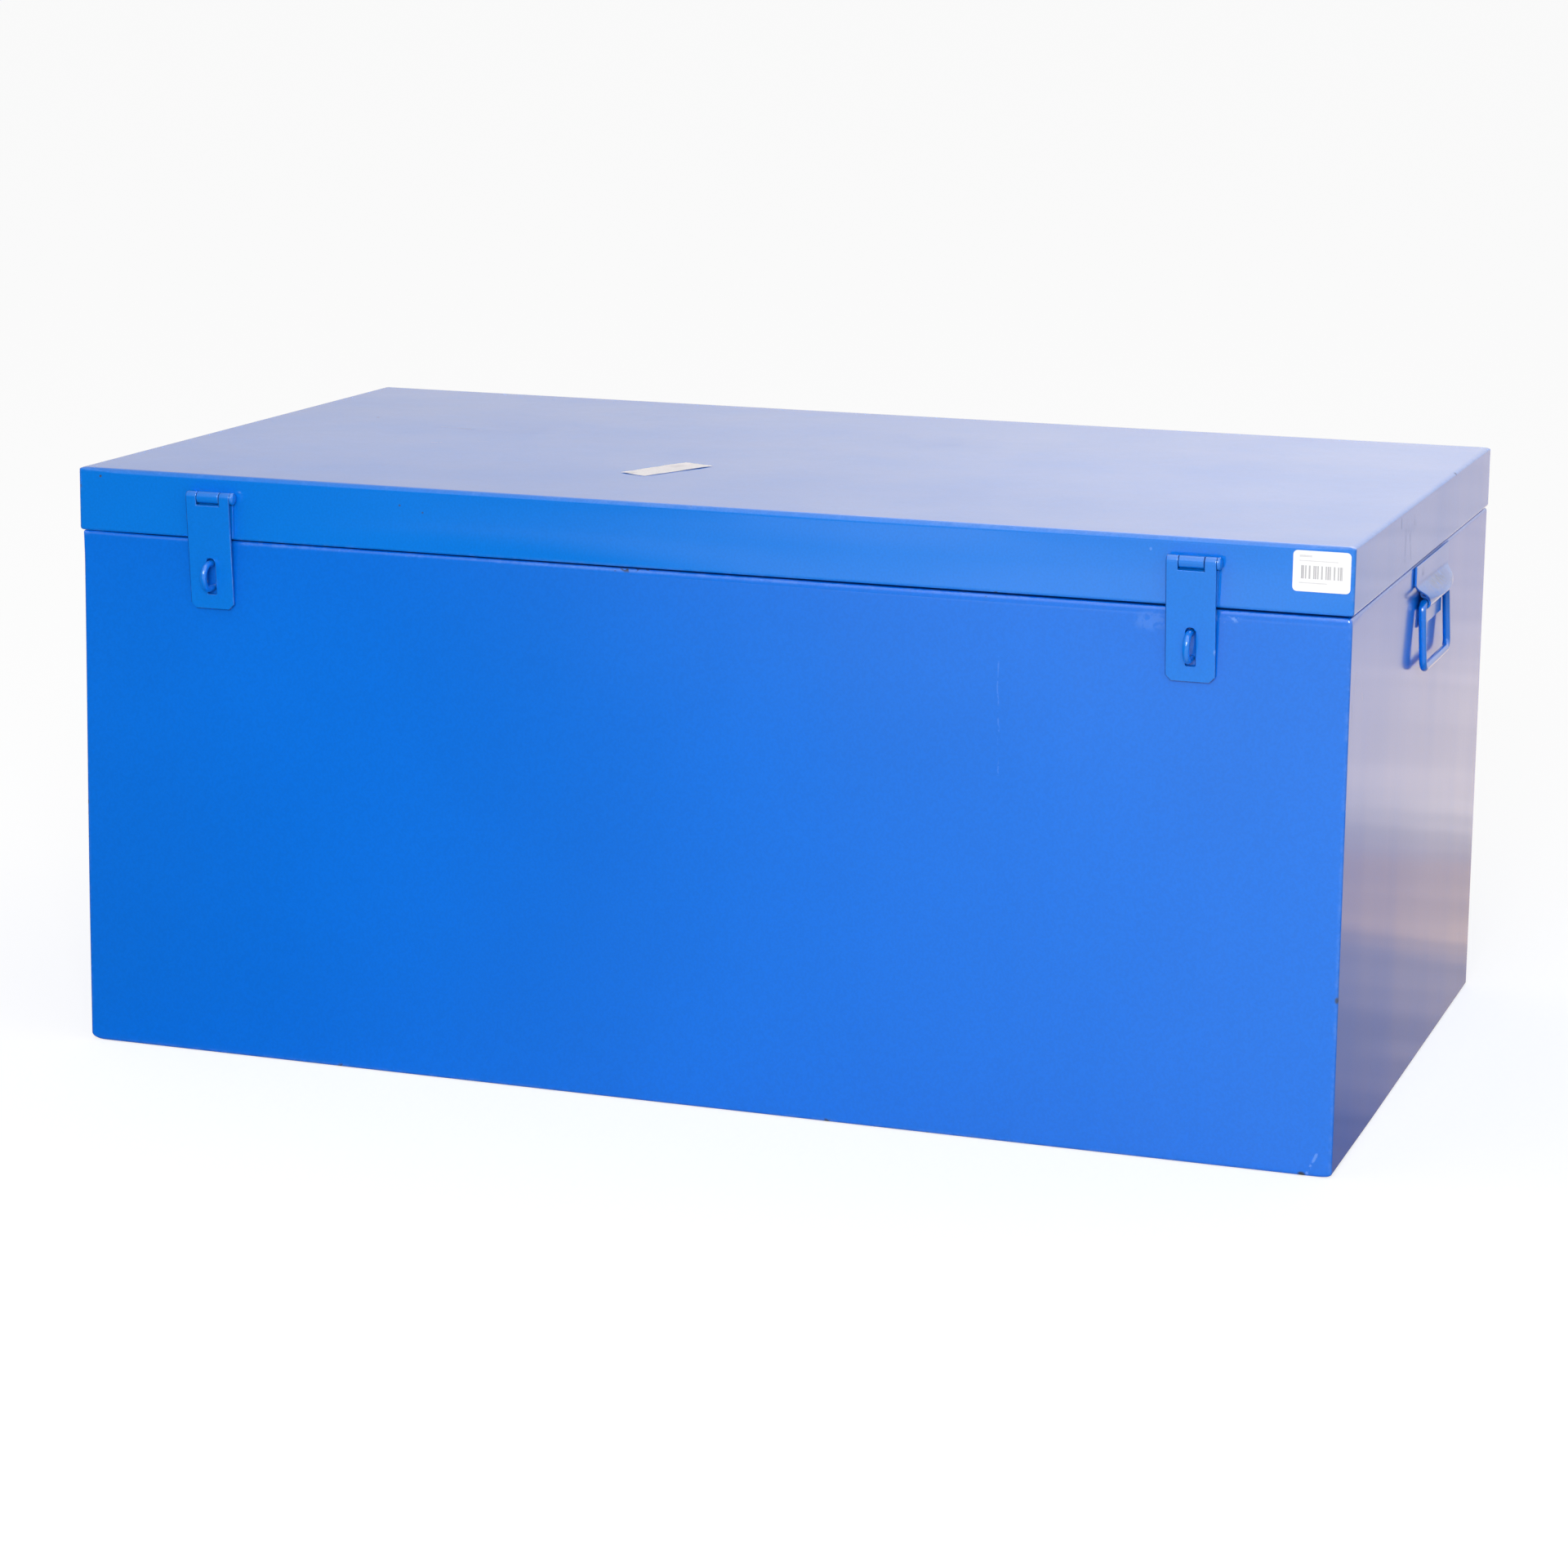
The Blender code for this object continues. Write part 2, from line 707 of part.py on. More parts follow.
def make_handle_visor(name, side):
    """A flared plate over the bail, clipped and bowed at its lip, which stops the bail when it is level."""
    line = trace(
        (FIT + VISOR_SHEET / 2, BODY_HEIGHT - EDGE_RADIUS - FIT),
        -math.pi / 2,
        [
            (VISOR_FLAT,),
            (VISOR_BEND, VISOR_FLARE),
            (VISOR_SLOPE,),
            (VISOR_BEND, -VISOR_CURL),
        ],
    )

    fold_z, lip_z = line[1][1], line[-1][1]
    half = VISOR_WIDTH / 2
    stations = [half * (2 * bay / VISOR_BAYS - 1) for bay in range(VISOR_BAYS + 1)]

    def place(u, v, w):
        share = min(max((fold_z - v) / (fold_z - lip_z), 0), 1)
        across = w * (1 - share * (1 - VISOR_LIP_WIDTH / VISOR_WIDTH))
        bulge = VISOR_BOW * share * (1 - (w / half) ** 2)
        return Vector((side * (BODY_WIDTH / 2 + u + bulge), HANDLE_SETBACK + across, v))

    shape = bent_strip(line, VISOR_SHEET, stations, place)
    add_piece(name, shape, painted(name))


def make_handle(word, side):
    make_handle_bail(f"handle_bail_{word}", side)
    make_handle_saddle(f"handle_saddle_{word}", side)
    make_handle_visor(f"handle_visor_{word}", side)


# Lid stays: pivot and stud are equally far from the hinge, so an arm turns half as far as the lid

def stay_spot(rise):
    """A point at the stay's radius from the hinge axis, in front of it and this far above it."""
    return Vector((0, HINGE_AXIS.y - math.sqrt(STAY_RADIUS ** 2 - rise ** 2), HINGE_AXIS.z + rise))


def make_stay(word, side, lid):
    pivot_spot = stay_spot(STAY_PIVOT_RISE)
    stud_spot = stay_spot(STAY_STUD_RISE)
    shut_angle = math.asin(STAY_PIVOT_RISE / STAY_RADIUS) - math.asin(STAY_STUD_RISE / STAY_RADIUS)
    shut_reach = 2 * STAY_RADIUS * math.sin(shut_angle / 2)
    open_reach = 2 * STAY_RADIUS * math.sin((shut_angle + LID_OPENING) / 2)

    pad = LEDGE_WIDTH + SHEET + FIT
    arm_near = pad + STUD_PAD_HEIGHT + FIT
    arm_far = arm_near + STAY_ARM_SHEET
    lug_near = arm_far + FIT
    lug_far = lug_near + STAY_LUG_SHEET
    hole = STAY_SHANK_RADIUS + FIT

    def inside(y, z, w):
        return Vector((side * (BODY_WIDTH / 2 - w), y, z))

    pivot_place = inside(pivot_spot.y, pivot_spot.z, arm_near)
    down = (stud_spot - pivot_spot).normalized()

    def along_arm(u, v, w):
        return inside(
            pivot_spot.y + u * down.y - v * down.z,
            pivot_spot.z + u * down.z + v * down.y,
            w,
        )

    arm_outlines = [
        stadium_points(0, open_reach, STAY_ARM_WIDTH / 2),
        circle_points((0, 0), hole),
        stadium_points(shut_reach, open_reach, hole),
    ]
    name = f"stay_arm_{word}"
    add_piece(name, flat_plate(arm_outlines, arm_near, arm_far, along_arm), plated(name), pivot_place, lid)

    half = STAY_LUG_WIDTH / 2
    top = LID_UNDERSIDE - FIT - pivot_spot.z
    lug_edge = [(half, top), (-half, top)] + arc_points((0, 0), half, math.pi, math.tau, ROUND_SIDES // 2)
    name = f"stay_lug_{word}"
    shape = flat_plate(
        [lug_edge, circle_points((0, 0), hole)],
        lug_near,
        lug_far,
        lambda u, v, w: inside(pivot_spot.y + u, pivot_spot.z + v, w),
    )
    add_piece(name, shape, painted(name), pivot_place, lid)

    name = f"stay_rivet_{word}"
    outer, inner = arm_near - FIT, lug_far + FIT
    profile = [
        (STAY_HEAD_RADIUS - STAY_HEAD_HEIGHT / 2, outer - STAY_HEAD_HEIGHT),
        (STAY_HEAD_RADIUS, outer - STAY_HEAD_HEIGHT / 2),
        (STAY_HEAD_RADIUS, outer),
        (STAY_SHANK_RADIUS, outer),
        (STAY_SHANK_RADIUS, inner),
        (STAY_HEAD_RADIUS, inner),
        (STAY_HEAD_RADIUS, inner + STAY_HEAD_HEIGHT / 2),
        (STAY_HEAD_RADIUS - STAY_HEAD_HEIGHT / 2, inner + STAY_HEAD_HEIGHT),
    ]
    shape = turned_piece(profile, lambda u, v, w: inside(pivot_spot.y + u, pivot_spot.z + v, w))
    add_piece(name, shape, plated(name), pivot_place, lid)

    name = f"stay_stud_{word}"
    shoulder, head = pad + STUD_PAD_HEIGHT, arm_far + FIT
    profile = [
        (STAY_HEAD_RADIUS, pad),
        (STAY_HEAD_RADIUS, shoulder),
        (STAY_SHANK_RADIUS, shoulder),
        (STAY_SHANK_RADIUS, head),
        (STAY_HEAD_RADIUS, head),
        (STAY_HEAD_RADIUS, head + STAY_HEAD_HEIGHT / 2),
        (STAY_HEAD_RADIUS - STAY_HEAD_HEIGHT / 2, head + STAY_HEAD_HEIGHT),
    ]
    shape = turned_piece(profile, lambda u, v, w: inside(stud_spot.y + u, stud_spot.z + v, w))
    add_piece(name, shape, plated(name), inside(stud_spot.y, stud_spot.z, pad))


def make_chest():
    clear_scene()
    lid = pivot("lid_axis", HINGE_AXIS)
    make_body_walls()
    make_floor_panel()
    make_lid_pan(lid)
    for step, word in ((-1, "left"), (0, "centre"), (1, "right")):
        make_hinge(word, step * (BODY_WIDTH / 2 - HINGE_END_DISTANCE), lid)
    for side, word in ((-1, "left"), (1, "right")):
        make_lid_stiffener(f"lid_stiffener_{word}", side * (BODY_WIDTH / 2 - STIFFENER_END_DISTANCE), lid)
        make_hasp(word, side * (BODY_WIDTH / 2 - HASP_END_DISTANCE), lid)
        make_handle(word, side)
        make_stay(word, side, lid)


make_chest()
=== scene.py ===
import math

import bmesh
import bpy
from mathutils import Matrix, Vector, noise


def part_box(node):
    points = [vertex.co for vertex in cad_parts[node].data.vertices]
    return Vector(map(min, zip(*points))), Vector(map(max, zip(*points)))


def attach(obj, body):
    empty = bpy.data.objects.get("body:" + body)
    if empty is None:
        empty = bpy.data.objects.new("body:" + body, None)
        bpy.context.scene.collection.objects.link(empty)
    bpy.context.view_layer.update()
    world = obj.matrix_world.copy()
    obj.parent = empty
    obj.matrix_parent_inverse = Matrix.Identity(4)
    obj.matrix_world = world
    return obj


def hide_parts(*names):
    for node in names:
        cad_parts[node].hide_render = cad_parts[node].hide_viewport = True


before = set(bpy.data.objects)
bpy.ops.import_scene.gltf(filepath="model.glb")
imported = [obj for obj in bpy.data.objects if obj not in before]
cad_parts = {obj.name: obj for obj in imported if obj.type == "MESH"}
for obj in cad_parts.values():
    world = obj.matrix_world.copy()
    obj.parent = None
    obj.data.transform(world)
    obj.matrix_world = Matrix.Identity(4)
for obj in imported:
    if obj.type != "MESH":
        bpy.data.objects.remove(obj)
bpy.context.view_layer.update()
scene = bpy.context.scene
scene.view_settings.view_transform = "Standard"


# Camera at the photograph's viewing angle
photoCamera = {
    "place": (1.0992, -3.2723, 0.9639),
    "yaw": -18.875,
    "pitch": -10.591,
    "roll": 0.704,
    "focalPixels": 4980.9,
    "framePixels": 1920,
    "raisedPixels": 160,
    "sensor": 36.0,
}


def makeCamera(form):
    yaw, pitch, roll = (math.radians(form[key]) for key in ("yaw", "pitch", "roll"))
    ahead = Vector((math.sin(yaw) * math.cos(pitch), math.cos(yaw) * math.cos(pitch), math.sin(pitch)))
    level = Vector((math.cos(yaw), -math.sin(yaw), 0))
    upright = level.cross(ahead)
    right = math.cos(roll) * level + math.sin(roll) * upright
    up = math.cos(roll) * upright - math.sin(roll) * level
    data = bpy.data.cameras.new("photoCamera")
    data.sensor_fit = "HORIZONTAL"
    data.sensor_width = form["sensor"]
    data.lens = form["focalPixels"] * form["sensor"] / form["framePixels"]
    data.shift_y = -form["raisedPixels"] / form["framePixels"]
    data.clip_end = 500
    camera = bpy.data.objects.new("photoCamera", data)
    turn = Matrix((right, up, -ahead)).transposed().to_4x4()
    camera.matrix_world = Matrix.Translation(form["place"]) @ turn
    scene.collection.objects.link(camera)
    scene.camera = camera


makeCamera(photoCamera)
print("camera set")


# Short forms for node trees
def put(tree, kind, sockets=None, **settings):
    node = tree.nodes.new(kind)
    for key, value in settings.items():
        setattr(node, key, value)
    for key, value in (sockets or {}).items():
        if isinstance(value, bpy.types.NodeSocket):
            tree.links.new(value, node.inputs[key])
        else:
            node.inputs[key].default_value = value
    return node


def calc(tree, operation, first, second=0.0, third=0.0, clamp=False):
    sockets = {0: first, 1: second, 2: third}
    return put(tree, "ShaderNodeMath", sockets, operation=operation, use_clamp=clamp).outputs[0]


def vectorCalc(tree, operation, first, second=(0, 0, 0)):
    return put(tree, "ShaderNodeVectorMath", {0: first, 1: second}, operation=operation).outputs


def scaled(tree, vector, amount):
    return put(tree, "ShaderNodeVectorMath", {0: vector, 3: amount}, operation="SCALE").outputs[0]


def mixed(tree, factor, under, over, mode="MIX"):
    sockets = {0: factor, 6: under, 7: over}
    return put(tree, "ShaderNodeMix", sockets, data_type="RGBA", blend_type=mode).outputs[2]


def fade(tree, value, low, high, toLow=0.0, toHigh=1.0):
    sockets = {0: value, 1: low, 2: high, 3: toLow, 4: toHigh}
    return put(tree, "ShaderNodeMapRange", sockets, interpolation_type="SMOOTHSTEP").outputs[0]


def fadeLinear(tree, value, low, high):
    return put(tree, "ShaderNodeMapRange", {0: value, 1: low, 2: high}).outputs[0]


def rampStops(ramp, stops):
    while len(ramp.elements) < len(stops):
        ramp.elements.new(0.5)
    for element, (spot, colour) in zip(ramp.elements, stops):
        element.position, element.color = spot, (*colour, 1)


def cloud(tree, place, scale, detail=2.0, output=0):
    sockets = {"Vector": place, "Scale": scale, "Detail": detail}
    return put(tree, "ShaderNodeTexNoise", sockets).outputs[output]


def parts(tree, vector):
    return put(tree, "ShaderNodeSeparateXYZ", {0: vector}).outputs


def chosen(tree, factor, first, second):
    return put(tree, "ShaderNodeMixShader", {0: factor, 1: first.outputs[0], 2: second.outputs[0]})


def stretched(tree, place, scale):
    return put(tree, "ShaderNodeMapping", {"Vector": place, "Scale": scale}).outputs[0]


def newGroup(name, inputs, outputs):
    kinds = {"vector": "NodeSocketVector", "value": "NodeSocketFloat", "colour": "NodeSocketColor"}
    tree = bpy.data.node_groups.new(name, "ShaderNodeTree")
    for label, kind in inputs.items():
        tree.interface.new_socket(label, in_out="INPUT", socket_type=kinds[kind])
    for label, kind in outputs.items():
        tree.interface.new_socket(label, in_out="OUTPUT", socket_type=kinds[kind])
    return tree, tree.nodes.new("NodeGroupInput").outputs, tree.nodes.new("NodeGroupOutput").inputs


def placeGroup(tree, group, sockets):
    return put(tree, "ShaderNodeGroup", sockets, node_tree=group).outputs


def newMaterial(name):
    material = bpy.data.materials.new(name)
    material.use_nodes = True
    tree = material.node_tree
    tree.nodes.clear()
    place = put(tree, "ShaderNodeTexCoord").outputs["Object"]
    return material, tree, place


def closeMaterial(tree, shader):
    put(tree, "ShaderNodeOutputMaterial", {"Surface": shader})


# Shared surface effects
def makeEnamelSkin():
    inputs = {"Place": "vector", "Paint": "colour"}
    outputs = {"Colour": "colour", "Roughness": "value", "Coat": "value", "Height": "value"}
    tree, given, result = newGroup("enamelSkin", inputs, outputs)
    place = given["Place"]
    tone = fade(tree, cloud(tree, place, 2.6, 3.0), 0.3, 0.7, 0.955, 1.04)
    grain = fade(tree, cloud(tree, place, 520.0, 1.0), 0.3, 0.7, 0.965, 1.035)
    tree.links.new(scaled(tree, given["Paint"], calc(tree, "MULTIPLY", tone, grain)), result["Colour"])
    smear = cloud(tree, stretched(tree, place, (6.0, 6.0, 1.6)), 1.6, 2.0)
    film = fade(tree, smear, 0.2, 0.85)
    tree.links.new(calc(tree, "MULTIPLY_ADD", film, 0.06, 0.31), result["Roughness"])
    runs = cloud(tree, stretched(tree, place, (46.0, 46.0, 1.4)), 1.0, 3.0)
    runs = fade(tree, runs, 0.40, 0.75, 1.0, 0.96)
    clear = calc(tree, "MULTIPLY_ADD", film, -0.06, 1.0)
    tree.links.new(calc(tree, "MULTIPLY", runs, clear), result["Coat"])
    peel = cloud(tree, place, 230.0, 1.0)
    ripple = cloud(tree, place, 40.0, 1.0)
    tree.links.new(calc(tree, "MULTIPLY_ADD", ripple, 1.2, peel), result["Height"])
    return tree


def makeScratchLine():
    inputs = {"Place": "vector", "Start": "vector", "End": "vector", "Width": "value", "Broken": "value"}
    tree, given, result = newGroup("scratchLine", inputs, {"Mask": "value"})
    wander = vectorCalc(tree, "SUBTRACT", cloud(tree, given["Place"], 45.0, 1.0, 1), (0.5, 0.5, 0.5))[0]
    bent = vectorCalc(tree, "ADD", given["Place"], scaled(tree, wander, 0.004))[0]
    along = vectorCalc(tree, "SUBTRACT", given["End"], given["Start"])[0]
    away = vectorCalc(tree, "SUBTRACT", bent, given["Start"])[0]
    reach = vectorCalc(tree, "DOT_PRODUCT", along, along)[1]
    share = calc(tree, "DIVIDE", vectorCalc(tree, "DOT_PRODUCT", away, along)[1], reach, clamp=True)
    gap = vectorCalc(tree, "DISTANCE", away, scaled(tree, along, share))[1]
    line = calc(tree, "SUBTRACT", 1.0, fade(tree, calc(tree, "DIVIDE", gap, given["Width"]), 0.35, 1.0))
    flecks = calc(tree, "SUBTRACT", cloud(tree, given["Place"], 260.0, 2.0), given["Broken"])
    tree.links.new(calc(tree, "MULTIPLY", line, fade(tree, flecks, -0.04, 0.08)), result["Mask"])
    return tree


def makeRubbedPatch():
    inputs = {"Place": "vector", "Centre": "vector", "Reach": "vector", "Grain": "value", "Cover": "value"}
    tree, given, result = newGroup("rubbedPatch", inputs, {"Mask": "value"})
    offset = vectorCalc(tree, "SUBTRACT", given["Place"], given["Centre"])[0]
    spread = vectorCalc(tree, "LENGTH", vectorCalc(tree, "DIVIDE", offset, given["Reach"])[0])[1]
    ragged = calc(tree, "MULTIPLY_ADD", cloud(tree, given["Place"], 70.0, 3.0), 0.7, spread)
    inside = calc(tree, "SUBTRACT", 1.0, fade(tree, ragged, 0.75, 1.35))
    specks = calc(tree, "SUBTRACT", given["Cover"], cloud(tree, given["Place"], given["Grain"]))
    tree.links.new(calc(tree, "MULTIPLY", inside, fade(tree, specks, -0.02, 0.10)), result["Mask"])
    return tree


def makeBoxEdge():
    inputs = {"Place": "vector", "Middle": "vector", "Half": "vector", "Width": "value"}
    tree, given, result = newGroup("boxEdge", inputs, {"Mask": "value"})
    offset = vectorCalc(tree, "SUBTRACT", given["Place"], given["Middle"])[0]
    offset = vectorCalc(tree, "ABSOLUTE", offset)[0]
    depth = parts(tree, vectorCalc(tree, "SUBTRACT", given["Half"], offset)[0])
    nearer = calc(tree, "MINIMUM", depth[0], depth[1])
    further = calc(tree, "MAXIMUM", depth[0], depth[1])
    second = calc(tree, "MAXIMUM", nearer, calc(tree, "MINIMUM", further, depth[2]))
    line = calc(tree, "SUBTRACT", 1.0, fade(tree, calc(tree, "DIVIDE", second, given["Width"]), 0.2, 1.0))
    tree.links.new(line, result["Mask"])
    return tree


def makeEdgeChips():
    inputs = {"Place": "vector", "Edge": "value", "Amount": "value"}
    tree, given, result = newGroup("edgeChips", inputs, {"Rub": "value", "Chip": "value"})
    breakup = cloud(tree, given["Place"], 130.0, 4.0)
    stretch = cloud(tree, given["Place"], 9.0, 2.0)
    worn = calc(tree, "MULTIPLY_ADD", stretch, 0.55, calc(tree, "MULTIPLY", breakup, 0.6))
    level = calc(tree, "ADD", worn, given["Amount"])
    tree.links.new(calc(tree, "MULTIPLY", given["Edge"], fade(tree, level, 0.52, 0.72)), result["Rub"])
    tree.links.new(calc(tree, "MULTIPLY", given["Edge"], fade(tree, level, 0.735, 0.765)), result["Chip"])
    return tree


enamelSkin = makeEnamelSkin()
scratchLine = makeScratchLine()
rubbedPatch = makeRubbedPatch()
boxEdge = makeBoxEdge()
edgeChips = makeEdgeChips()
print("surface effects made")


# Paints: one blue enamel, with each piece's own marks
enamel = {
    "blue": (0.001, 0.160, 0.716, 1),
    "lidBlue": (0.001, 0.190, 0.735, 1),
    "pale": (0.22, 0.42, 0.90, 1),
    "primer": (0.055, 0.065, 0.085, 1),
    "grey": (0.30, 0.31, 0.35, 1),
    # lavender-grey of the guard lip's scuffs, which also paints in the sky that the lip mirrors
    "scuffAndSheen": (0.46, 0.45, 0.54, 1),
    # navy of the painted shade on the strap plates' lower and left faces and sides
    "shadeNavy": (0.001, 0.030, 0.190, 1),
    "gloss": {"bodyPaint": 0.11, "lidPaint": 0.09, "fittingPaint": 0.12},
    "specular": 0.06,
    "ior": 1.5,
    "rubShare": 0.16,
    "dullRough": 0.28,
    "dullCoat": -0.85,
    "dullHeight": -0.8,
    "peelStrength": 0.05,
    "peelDepth": 0.00035,
}


def addMark(tree, place, mark):
    if "start" in mark:
        group, keys = scratchLine, ("start", "end", "width", "broken")
    else:
        group, keys = rubbedPatch, ("centre", "reach", "grain", "cover")
    sockets = {key.capitalize(): mark[key] for key in keys}
    mask = placeGroup(tree, group, {"Place": place, **sockets})["Mask"]
    return calc(tree, "MULTIPLY", mask, mark["depth"])


def makePaint(name, blue, edge, chips, marks, paintedShade=None):
    material, tree, place = newMaterial(name)
    skin = placeGroup(tree, enamelSkin, {"Place": place, "Paint": enamel[blue]})
    colour, dull = skin["Colour"], 0.0
    # Painted shade: faces marked for it are darkened towards navy, standing in for the shadow round the
    # straps
    if paintedShade:
        colour = mixed(tree, paintedShade(tree, place), colour, enamel["shadeNavy"])
    for mark in marks:
        mask = addMark(tree, place, mark)
        colour = mixed(tree, mask, colour, enamel[mark["tone"]])
        dull = calc(tree, "MAXIMUM", dull, mask)
    wear = placeGroup(tree, edgeChips, {"Place": place, "Edge": edge(tree, place), "Amount": chips})
    colour = mixed(tree, calc(tree, "MULTIPLY", wear["Rub"], enamel["rubShare"]), colour, enamel["pale"])
    colour = mixed(tree, wear["Chip"], colour, enamel["primer"])
    dull = calc(tree, "MAXIMUM", dull, wear["Chip"])
    rough = calc(tree, "MULTIPLY_ADD", dull, enamel["dullRough"], skin["Roughness"])
    kept = calc(tree, "MULTIPLY_ADD", dull, enamel["dullCoat"], 1.0)
    coat = calc(tree, "MULTIPLY", skin["Coat"], kept)
    height = calc(tree, "MULTIPLY_ADD", dull, enamel["dullHeight"], skin["Height"])
    bump = put(tree, "ShaderNodeBump", {
        "Height": height, "Strength": enamel["peelStrength"], "Distance": enamel["peelDepth"]})
    shader = put(tree, "ShaderNodeBsdfPrincipled", {
        "Base Color": colour,
        "Roughness": rough,
        "IOR": enamel["ior"],
        "Specular IOR Level": enamel["specular"],
        "Coat Weight": coat,
        "Coat Roughness": enamel["gloss"][name],
        "Coat IOR": enamel["ior"],
        "Normal": bump.outputs[0],
    })
    closeMaterial(tree, shader.outputs[0])
    return material


def sheetEdge(middle, half, width):
    def make(tree, place):
        sockets = {"Place": place, "Middle": middle, "Half": half, "Width": width}
        return placeGroup(tree, boxEdge, sockets)["Mask"]
    return make


def faceValue(name):
    def make(tree, place):
        return put(tree, "ShaderNodeAttribute", attribute_name=name).outputs["Fac"]
    return make


def scratch(tone, start, end, width, depth=1.0, broken=0.42):
    return {"tone": tone, "start": start, "end": end, "width": width, "depth": depth, "broken": broken}


def patch(tone, centre, reach, depth, grain=300.0, cover=0.62):
    return {"tone": tone, "centre": centre, "reach": reach, "depth": depth, "grain": grain, "cover": cover}


frontY, lidFrontY, endX, lidEndX = -0.305, -0.306, 0.533, 0.534
lidTop, overLid = 0.4898, 0.4908  # scratches lie a little over the lid, so that none shows under it
bodyMarks = [
    scratch("pale", (0.2588, frontY, 0.390), (0.261, frontY, 0.294), 0.0009, 0.16, 0.46),
    scratch("pale", (0.521, frontY, 0.018), (0.5146, frontY, 0.002), 0.0016, 0.5),
    patch("primer", (0.5096, frontY, 0.001), (0.004, 0.004, 0.003), 1.0, 500.0, 0.7),
    patch("primer", (0.5325, frontY, 0.141), (0.003, 0.004, 0.004), 1.0, 500.0, 0.7),
    patch("pale", (0.378, frontY, 0.424), (0.016, 0.006, 0.011), 0.16, 150.0, 0.60),
    patch("pale", (0.437, frontY, 0.4295), (0.012, 0.006, 0.004), 0.55, 190.0, 0.50),
    scratch("grey", (endX, -0.2945, 0.352), (endX, -0.2925, 0.398), 0.0008, 0.6, 0.42),
    scratch("grey", (endX, -0.2830, 0.366), (endX, -0.2800, 0.392), 0.0010, 0.7, 0.45),
    scratch("grey", (endX, -0.2600, 0.381), (endX, -0.2510, 0.362), 0.0008, 0.5, 0.45),
]
lidMarks = [
    patch("primer", (-0.5135, lidFrontY, 0.4834), (0.0016, 0.004, 0.0016), 1.0, 300.0, 0.9),
    patch("pale", (0.3772, lidFrontY, 0.4793), (0.0013, 0.004, 0.0016), 0.35, 200.0, 0.9),
    patch("primer", (-0.2438, lidFrontY, 0.4751), (0.0012, 0.004, 0.0012), 0.7, 300.0, 0.9),
    patch("primer", (-0.2238, lidFrontY, 0.4703), (0.0012, 0.004, 0.0012), 0.7, 300.0, 0.9),
    scratch("grey", (-0.365, 0.054, overLid), (-0.323, 0.048, overLid), 0.0022, 0.7, 0.45),
    scratch("grey", (-0.331, -0.045, overLid), (-0.323, -0.041, overLid), 0.0020, 0.7, 0.40),
    scratch("grey", (-0.296, -0.024, overLid), (-0.288, -0.020, overLid), 0.0018, 0.6, 0.40),
    patch("primer", (-0.443, 0.088, lidTop), (0.002, 0.003, 0.0014), 0.8, 300.0, 0.9),
    patch("grey", (-0.30, 0.06, lidTop), (0.10, 0.05, 0.0014), 0.08, 30.0, 0.55),
    patch("grey", (0.10, 0.14, lidTop), (0.16, 0.05, 0.0014), 0.06, 24.0, 0.55),
    scratch("primer", (lidEndX, -0.100, 0.474), (lidEndX, -0.1015, 0.446), 0.0019, 0.34, 0.42),
    scratch("primer", (lidEndX, -0.083, 0.467), (lidEndX, -0.074, 0.4465), 0.0017, 0.38, 0.40),
    scratch("primer", (lidEndX, -0.122, 0.486), (lidEndX, -0.121, 0.479), 0.0020, 0.42, 0.38),
    scratch("primer", (lidEndX, -0.064, 0.479), (lidEndX, -0.061, 0.470), 0.0022, 0.24, 0.40),
    patch("primer", (lidEndX, -0.080, 0.474), (0.006, 0.040, 0.010), 0.10, 110.0, 0.52),
]
bodyEdge = sheetEdge((0, 0, 0.218), (0.533, 0.305, 0.218), 0.004)
lidEdge = sheetEdge((0, -0.0005, 0.4632), (0.534, 0.3055, 0.0268), 0.004)
bodyPaint = makePaint("bodyPaint", "blue", bodyEdge, 0.0, bodyMarks)
lidPaint = makePaint("lidPaint", "lidBlue", lidEdge, -0.02, lidMarks)
fittingMarks = [
    patch("pale", (0.4298, -0.306, 0.404), (0.0016, 0.006, 0.0040), 1.0, 500.0, 0.62),
    # Scuffs on the guard's lip: real wear, and partly a painted reflection of the sky in their
    # lavender-grey
    patch("scuffAndSheen", (0.542, 0.030, 0.4150), (0.014, 0.080, 0.010), 0.55, 120.0, 0.72),
    patch("grey", (0.542, 0.020, 0.4165), (0.012, 0.040, 0.007), 0.40, 150.0, 0.56),
    patch("primer", (0.541, 0.036, 0.4175), (0.010, 0.028, 0.006), 0.25, 170.0, 0.54),
    patch("primer", (0.536, -0.022, 0.4290), (0.004, 0.009, 0.006), 0.35, 300.0, 0.50),
]
# The fittings' face value "shade" carries painted shade into their colour
fittingPaint = makePaint(
    "fittingPaint", "lidBlue", faceValue("wear"), 0.0, fittingMarks, faceValue("shade"))


zincPlating = {"silver": (0.56, 0.57, 0.58, 1), "stain": (0.30, 0.30, 0.29, 1)}


def makeZinc(form):
    material, tree, place = newMaterial("zincPlate")
    spangle = put(tree, "ShaderNodeTexVoronoi", {"Vector": place, "Scale": 240.0}).outputs["Distance"]
    brushed = cloud(tree, stretched(tree, place, (40.0, 6.0, 1500.0)), 1.0, 3.0)
    stain = fade(tree, cloud(tree, place, 60.0, 4.0), 0.5, 0.72, 0.0, 0.55)
    colour = mixed(tree, stain, form["silver"], form["stain"])
    colour = scaled(tree, colour, fade(tree, spangle, 0.0, 0.9, 0.9, 1.08))
    rough = fade(tree, brushed, 0.3, 0.7, 0.26, 0.40)
    rough = calc(tree, "MULTIPLY_ADD", stain, 0.25, rough)
    bump = put(tree, "ShaderNodeBump", {"Height": brushed, "Strength": 0.12, "Distance": 0.0002})
    shader = put(tree, "ShaderNodeBsdfPrincipled", {
        "Base Color": colour, "Roughness": rough, "Metallic": 1.0, "Normal": bump.outputs[0]})
    closeMaterial(tree, shader.outputs[0])
    return material


zincPlate = makeZinc(zincPlating)
print("paints mixed")


# Turning a bmesh into a piece that rides on its body
softFold = math.radians(40)


